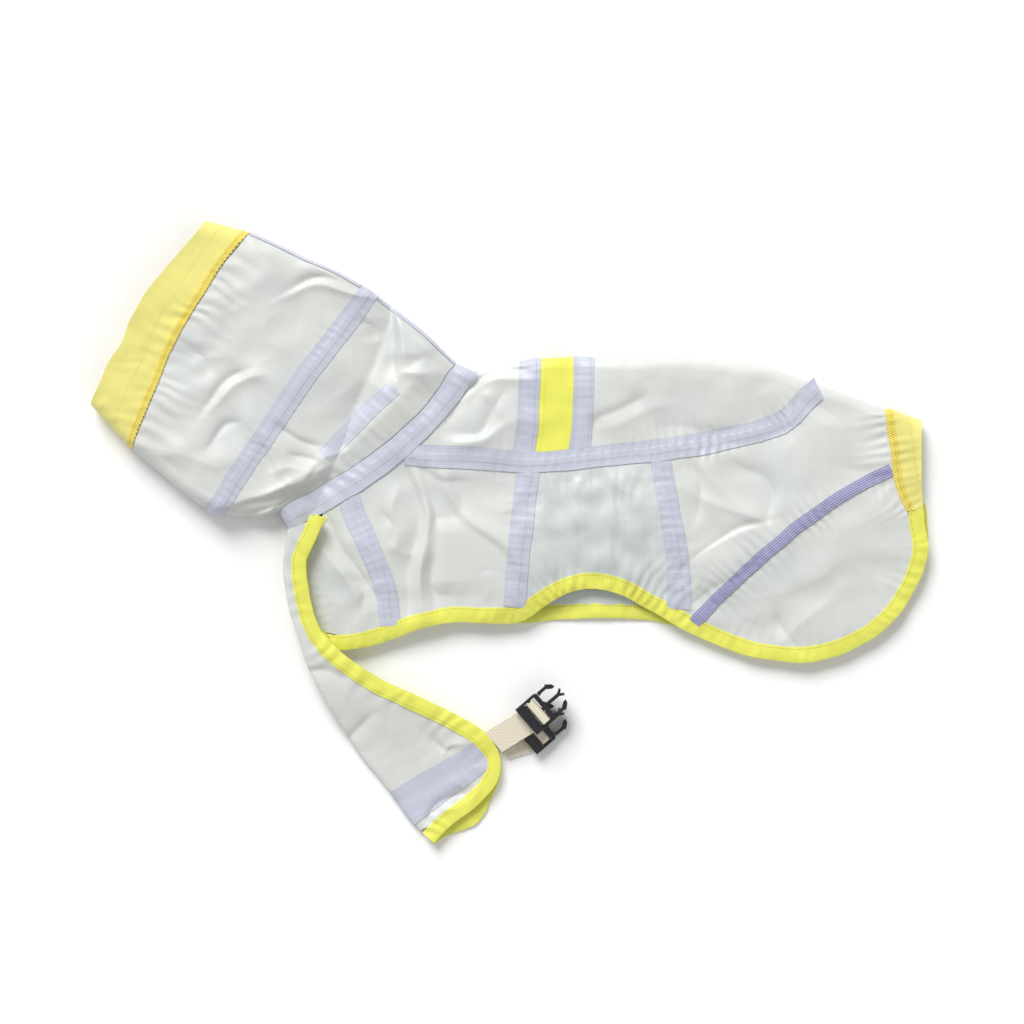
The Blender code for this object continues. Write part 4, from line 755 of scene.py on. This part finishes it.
def softshell_look(name, ripples, ripple_height, stitch_at):
    """Matt yellow softshell with one row of stitches."""
    look = Look(name, (0.790, 0.725, 0.215), 0.82, Sheen_Weight=0.35, Sheen_Roughness=0.5)
    place = look.place(True)
    u, v = look.split(place)
    weave(look, place, (1500, 500), 0.00008, 0.05)
    look.shift(look.noise(place, (14, 14, 14), 3.0), 0.04)
    look.raise_by(look.noise(place, ripples, 3.0), ripple_height)
    look.stitches(u, v, stitch_at, SOFTSHELL_STITCH, (0.72, 0.60, 0.13), STITCH_HALF, 0.0001)
    return look.done()


def overlock_look(name, colour):
    """Slanted thread over a cut edge, with a dark serrated line of painted shadow on the low side of v."""
    look = Look(name, colour, 0.75, Sheen_Weight=0.2)
    u, v = look.split(look.place(True))
    slant = look.value("MULTIPLY_ADD", v, 0.45, u)
    thread = look.wave(slant, 0.0021)
    look.raise_by(thread, 0.00035)
    look.shift(thread, 0.16)
    # painted shadow: a near-black serrated line is painted on the low side of v, along the thread's edge
    zigzag = look.wave(u, 0.0042)
    lip = look.value("MULTIPLY_ADD", zigzag, 0.0016, -0.0042)
    edge = look.clamp(look.value("MULTIPLY", look.value("SUBTRACT", lip, v), 2500.0))
    look.paint(look.value("MULTIPLY", edge, 0.80), (0.10, 0.09, 0.04))
    seam = look.band(v, 0.0006, 0.0003, 0.0003)
    look.paint(look.value("MULTIPLY", seam, 0.5), (0.60, 0.42, 0.05))
    return look.done()


def elastic_look(name, colour):
    """Ribbed elastic, its ribs running along it."""
    look = Look(name, colour, 0.55, Sheen_Weight=0.1)
    place = look.place(True)
    rib = look.wave(look.split(place)[1], 0.0021)
    look.raise_by(rib, 0.00030)
    look.shift(rib, 0.28)
    look.raise_by(look.noise(place, (500, 200, 200), 2.0), 0.00006)
    look.shift(look.noise(place, (70, 30, 30), 3.0), 0.10)
    return look.done()


def webbing_look(name, colour):
    """Cream webbing: knots where rows cross columns, and painted brown shade in the low gaps between the
    rows.
    """
    look = Look(name, colour, 0.70, Sheen_Weight=0.2)
    u, v = look.split(look.place(True))
    rows = look.wave(u, 0.0021)
    columns = look.wave(v, 0.0019)
    look.raise_by(look.value("MULTIPLY", rows, columns), 0.00035)
    # painted shade: the low gaps between the rows are darkened towards brown
    gap_shade = look.clamp(look.value("MULTIPLY_ADD", rows, -3.2, 1.35))
    look.paint(look.value("MULTIPLY", gap_shade, 0.70), (0.58, 0.44, 0.25))
    look.shift(columns, 0.07)
    return look.done()


def plastic_look(name, colour):
    look = Look(name, colour, 0.30, Coat_Weight=0.2, Coat_Roughness=0.2)
    look.raise_by(look.noise(look.place(False), (1400, 1400, 1400), 2.0), 0.00002)
    return look.done()


LOOKS = {
    "cloth": cloth_look("coated_cloth", (0.670, 0.684, 0.653), 0.47),
    "flank": cloth_look("flank_cloth", (0.625, 0.665, 0.650), 0.42, ribs=0.00008),
    "tape": tape_look("seam_tape", LAVENDER),
    "dart": tape_look("dart_tape", (0.540, 0.558, 0.648), double=False),
    "bib_tape": tape_look("bib_tape", LAVENDER, double=False),
    "binding": binding_look("neon_binding", (0.790, 0.795, 0.115), 0.0022),
    "neon": stripe_look("neon_stripe", (0.830, 0.830, 0.120), 0.0140),
    "softshell": softshell_look("softshell", (30, 55, 30), 0.0012, -0.0235),
    "cuff": softshell_look("tail_softshell", (70, 55, 30), 0.0010, 0.0225),
    "overlock": overlock_look("overlock_thread", (0.820, 0.665, 0.120)),
    "elastic": elastic_look("ribbed_elastic", (0.330, 0.325, 0.520)),
    "webbing": webbing_look("cream_webbing", (0.850, 0.800, 0.670)),
    "plastic": plastic_look("black_plastic", (0.010, 0.010, 0.013)),
}

# ---------------------------------------------------------------- pieces


WELD = 0.00002
FLAT_ANGLE = 0.002
HARD_ANGLE = 0.75
ROUNDS = 8
SOFTENINGS = 3


def refine(node, size):
    """A finely divided copy of a CAD solid, smooth but for its real edges."""
    source = NODES[node]
    bm = bmesh.new()
    bm.from_mesh(source.data)
    bmesh.ops.remove_doubles(bm, verts=bm.verts, dist=WELD)
    bmesh.ops.dissolve_limit(bm, angle_limit=FLAT_ANGLE, verts=bm.verts[:], edges=bm.edges[:])
    bmesh.ops.triangulate(bm, faces=bm.faces[:])
    for edge in bm.edges:
        edge.smooth = not (len(edge.link_faces) == 2 and edge.calc_face_angle(0.0) > HARD_ANGLE)
    for _ in range(ROUNDS):
        long_edges = [e for e in bm.edges if e.calc_length() > size]
        if not long_edges:
            break
        bmesh.ops.subdivide_edges(bm, edges=long_edges, cuts=1, use_grid_fill=False)
        many = [f for f in bm.faces if len(f.verts) > 3]
        bmesh.ops.triangulate(bm, faces=many)
    hard = {v for e in bm.edges if not e.smooth for v in e.verts}
    free = [v for v in bm.verts if v not in hard]
    axes = {"use_axis_x": True, "use_axis_y": True, "use_axis_z": True}
    for _ in range(SOFTENINGS):
        bmesh.ops.smooth_vert(bm, verts=free, factor=0.5, **axes)
    for face in bm.faces:
        face.smooth = True
    mesh = bpy.data.meshes.new(node)
    bm.to_mesh(mesh)
    bm.free()
    made = bpy.data.objects.new("cloth_" + node, mesh)
    bpy.context.scene.collection.objects.link(made)
    return made


def points_of(obj):
    co = np.zeros(len(obj.data.vertices) * 3)
    obj.data.vertices.foreach_get("co", co)
    return co.reshape(-1, 3)


def set_points(obj, points):
    obj.data.vertices.foreach_set("co", points.astype(np.float32).ravel())
    obj.data.update()


def set_strip_map(obj, u, v):
    layer = obj.data.uv_layers.new(name="strip")
    index = np.zeros(len(obj.data.loops), np.int32)
    obj.data.loops.foreach_get("vertex_index", index)
    layer.data.foreach_set("uv", np.stack([u[index], v[index]], axis=1).astype(np.float32).ravel())


def outward(obj):
    """Each vertex's own normal."""
    normal = np.zeros(len(obj.data.vertices) * 3, np.float32)
    obj.data.vertices.foreach_get("normal", normal)
    return normal.reshape(-1, 3)


MADE = {}


def cloth(
    node,
    look,
    line=None,
    size=0.0030,
    part="coat",
    profile=None,
    blend=None,
    read="middle",
    slides=(),
):
    """Makes the visible piece that stands for one CAD node. read says which way its strip map runs."""
    obj = refine(node, size)
    p = points_of(obj)
    if line is not None:
        u, v, _ = along(p[:, :2], line)
        across = {"middle": v, "flipped": -v, "from_high": v.max() - v, "from_low": v - v.min()}[read]
        set_strip_map(obj, u, across)
        if profile is not None:
            normal = outward(obj)
            p = profile(p, u, v, normal)
    set_points(obj, bent(slid(p, slides), part))
    obj.data.materials.clear()
    obj.data.materials.append(LOOKS[look])
    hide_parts(node)
    if blend:
        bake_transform(obj, *blend[:2], start=blend[2], end=blend[3])
    else:
        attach(obj, body_of(NODES[node])[0])
    MADE[node] = obj
    return obj


def side_way(p, line):
    """The unit plan direction in which the signed distance from a line grows."""
    step = 0.0002
    here = along(p[:, :2], line)[1]
    dx = along(p[:, :2] + (step, 0), line)[1] - here
    dy = along(p[:, :2] + (0, step), line)[1] - here
    way = np.stack([dx, dy], axis=1)
    return way / np.maximum(np.hypot(way[:, 0], way[:, 1]), 1e-9)[:, None]


def widened(p, v, way, left, right):
    """Moves a strip's long edges apart: left at its largest v and right at its smallest."""
    low, high = v.min(), v.max()
    share = (v - low) / (high - low)
    move = left * np.clip(share * 2 - 1, 0, 1) - right * np.clip(1 - share * 2, 0, 1)
    p[:, :2] += way * move[:, None]
    return p


def lengthened(p, u, way, start, end, over=0.012):
    """Draws a strip's two ends out along its line."""
    low, high = u.min(), u.max()
    forward = np.stack([way[:, 1], -way[:, 0]], axis=1)
    move = end * np.clip((u - high + over) / over, 0, 1) - start * np.clip((low + over - u) / over, 0, 1)
    p[:, :2] += forward * move[:, None]
    return p


FACES_UP = 0.3
TAPE_RIDGE = 0.00035
TAPE_RIDGE_HALF = 0.0045
TAPE_RIPPLE = 0.00012
DOME_HEIGHT = 0.0011
DOME_SINK = 0.0006
DOME_RIPPLE = 0.00025
BETWEEN_LAYERS = 0.008


def shaped(line, kind, left=0.0, right=0.0, start=0.0, end=0.0, sink=0.0):
    """A strip's shape: drawn out over its neighbours, then ridged as a tape or domed as a binding."""

    def change(p, u, v, normal):
        out = p.copy()
        way = side_way(p, line)
        if left or right:
            out = widened(out, v, way, left, right)
        if start or end:
            out = lengthened(out, u, way, start, end)
        flat = np.abs(normal[:, 2]) > FACES_UP
        if kind == "tape":
            lift = TAPE_RIDGE * np.exp(-((v / TAPE_RIDGE_HALF) ** 4))
            lift += TAPE_RIPPLE * np.sin(2 * math.pi * u / 0.0075 + 3 * SOFT(p[:, :2]))
            out += normal * (lift * flat)[:, None]
        if kind == "binding":
            middle = (v.min() + v.max()) / 2
            half = (v.max() - v.min()) / 2
            share = np.clip((v - middle) / half, -1, 1)
            dome = DOME_HEIGHT * np.sqrt(np.clip(1 - share**2, 0, 1)) - DOME_SINK
            dome += DOME_RIPPLE * np.sin(2 * math.pi * u / 0.019 + 4 * SOFT(p[:, :2] * 2))
            out[:, 2] += np.sign(normal[:, 2]) * dome * flat
        if sink:
            out[:, 2] -= sink * np.sign(p[:, 2] - BETWEEN_LAYERS)
        return out

    return change


# Where cloth bends instead of turning at a hard hinge: body pair, first and last point.
NECK_BLEND = ("coat_body", "hood", (-0.1170, 0.0905, 0.010), (-0.1620, 0.1450, 0.010))
BIB_BLEND = ("coat_body", "bib", (-0.1925, 0.0160, 0.010), (-0.1800, -0.0320, 0.010))


SINK = 0.00035


def tape(node, line, look="tape", slot="seam_tape", size=0.0025, part="coat", slides=(), sink=SINK, **ends):
    """A seam tape, or another flat strip, drawn out over its neighbours' ends."""
    shape = shaped(line, "tape", sink=sink, **ends)
    return cloth(node, look, line=line, size=size, part=part, profile=shape, slides=slides)


def overlock(node, line, read="middle", **ends):
    """The overlocked edge of a softshell piece, standing a little proud."""
    shape = shaped(line, "tape", sink=-0.0004, **ends)
    return cloth(
        node, "overlock", line=line, size=0.0025, profile=shape, read=read
    )


# hood
BAND_LINE = bow(HOOD_BAND)
EDGE_LINE = BAND_LINE + np.array((-0.0024, 0.0028))
cloth("hem_band", "softshell", line=BAND_LINE)
overlock("hem_overlock_edge", EDGE_LINE, read="flipped", right=0.0006)
cloth("hood_front_panel", "cloth")
cloth("hood_rear_panel", "cloth", blend=NECK_BLEND)
tape("hood_seam_tape", bow(HOOD_SEAM))
CROWN = smooth(
    (
        (-0.2404, 0.2787),
        (-0.2004, 0.2611),
        (-0.1586, 0.2425),
        (-0.1269, 0.2257),
        (-0.1009, 0.2099),
        (-0.0637, 0.1718),
        (-0.0321, 0.1504),
    )
)
cloth("crown_tape_front", "tape", line=CROWN)
cloth("crown_tape_rear", "tape", line=CROWN, blend=NECK_BLEND)
tape("dart_tape_near", DART, look="dart")
tape("dart_tape_far", DART, look="dart")

# body
NECK_MIDDLE = bow(NECK) + np.array((0.0064, -0.0077))
tape("neck_seam_tape", NECK_MIDDLE, left=0.0026, right=0.0012, sink=-0.0005)
cloth("back_yoke", "cloth")
cloth("saddle_panel", "cloth")
cloth("reflective_stripe", "neon", line=STRIPE_MIDDLE)
tape("stripe_tape_front", STRIPE_FRONT, end=0.004)
tape("stripe_tape_rear", STRIPE_REAR, end=0.004)
ELASTIC_SLIDES = (
    ((0.186, -0.078), 0.042, (-0.0120, -0.0020), EVERY_LAYER),
    ((0.240, -0.018), 0.045, (0.0, -0.0030), EVERY_LAYER),
)
HEM_SLIDES = {"near": (), "far": (((0.386, 0.015), 0.026, (0.0035, 0.0060), EVERY_LAYER),)}
for side, size in (("near", 0.0026), ("far", 0.0060)):
    for node in ("shoulder_panel", "front_side_panel", "rump_panel"):
        cloth(f"{node}_{side}", "cloth", size=size)
    cloth(f"flank_panel_{side}", "flank", size=size)
    seam_end = 0.029 if side == "near" else 0.014
    tape(f"side_seam_tape_{side}", SIDE_SEAM, size=size, sink=0.0, start=0.014, end=seam_end)
    tape(f"shoulder_tape_{side}", SHOULDER, size=size, start=0.008, end=0.004)
    tape(f"flank_tape_front_{side}", FLANK_FRONT, size=size, start=0.004, end=0.006)
    tape(f"flank_tape_rear_{side}", FLANK_REAR, size=size, start=0.004, end=0.006)
    tape(
        f"elastic_{side}",
        ELASTIC,
        look="elastic",
        slot="elastic",
        size=size,
        start=0.004,
        end=0.008,
        slides=ELASTIC_SLIDES,
    )
    hem = NEAR_HEM if side == "near" else FAR_HEM
    shape = shaped(hem, "binding", left=0.0026, start=0.006, end=0.014)
    cloth(
        f"hem_binding_{side}",
        "binding",
        line=hem,
        size=0.0030,
        profile=shape,
        read="from_high",
        slides=HEM_SLIDES[side],
    )
cloth("tail_cuff", "cuff", line=CUFF)
CUFF_EDGE = CUFF + np.array((0.0036, 0.0))
overlock("cuff_overlock_edge", CUFF_EDGE, left=0.0009, right=0.0009)

# bib
cloth("chest_bib", "cloth", part="bib", blend=BIB_BLEND)
tape("bib_tape", BIB_TAPE, part="bib", look="bib_tape", end=0.003)
for side in ("near", "far"):
    shape = shaped(BIB_EDGE, "binding", right=0.0020, start=0.006)
    cloth(
        f"bib_binding_{side}",
        "binding",
        line=BIB_EDGE,
        part="bib",
        blend=BIB_BLEND,
        profile=shape,
        read="from_low",
    )
    cloth(f"{side}_strap", "webbing", line=STRAP, part="rigid", size=0.0025)

# hard pieces stay as the CAD has them, with a better finish
for node in NODES:
    if node in MADE:
        continue
    NODES[node].data.materials.clear()
    NODES[node].data.materials.append(LOOKS["webbing" if "tab" in node else "plastic"])

# ---------------------------------------------------------------- stage

floor_mesh = bpy.data.meshes.new("floor")
FLOOR_HALF = 30
corners = [(x * FLOOR_HALF, y * FLOOR_HALF, 0) for x, y in ((-1, -1), (1, -1), (1, 1), (-1, 1))]
floor_mesh.from_pydata(corners, [], [(0, 1, 2, 3)])
floor = bpy.data.objects.new("floor", floor_mesh)
bpy.context.scene.collection.objects.link(floor)
floor_look = Look("floor_white", (0.955, 0.955, 0.955), 0.9)
floor.data.materials.append(floor_look.done())


def sun(name, towards, strength, spread):
    """A sun shining in the given direction, spread in degrees."""
    light = bpy.data.lights.new(name, "SUN")
    light.energy = strength
    light.angle = math.radians(spread)
    obj = bpy.data.objects.new(name, light)
    obj.rotation_euler = Vector(towards).to_track_quat("-Z", "Y").to_euler()
    bpy.context.scene.collection.objects.link(obj)


sun("key", (0.42, -1.0, -0.84), 2.95, 32)
sun("fill", (-0.8, 0.9, -1.6), 0.35, 60)

world = bpy.data.worlds.new("studio")
bpy.context.scene.world = world
world.use_nodes = True
world.node_tree.nodes["Background"].inputs["Color"].default_value = (1, 1, 1, 1)
world.node_tree.nodes["Background"].inputs["Strength"].default_value = 0.42
bpy.context.scene.view_settings.view_transform = "Standard"

# The camera looks straight down from 3 m above the coat's upper layer.
VIEW_WIDTH = 0.952
DISTANCE = 3.0
SENSOR = 36
VIEW_CENTRE = (0.0033, 0.0211)
UPPER_LAYER = 0.02
camera_data = bpy.data.cameras.new("camera")
camera_data.sensor_width = SENSOR
camera_data.lens = SENSOR * DISTANCE / VIEW_WIDTH
camera = bpy.data.objects.new("camera", camera_data)
camera.location = (*VIEW_CENTRE, DISTANCE + UPPER_LAYER)
bpy.context.scene.collection.objects.link(camera)
bpy.context.scene.camera = camera
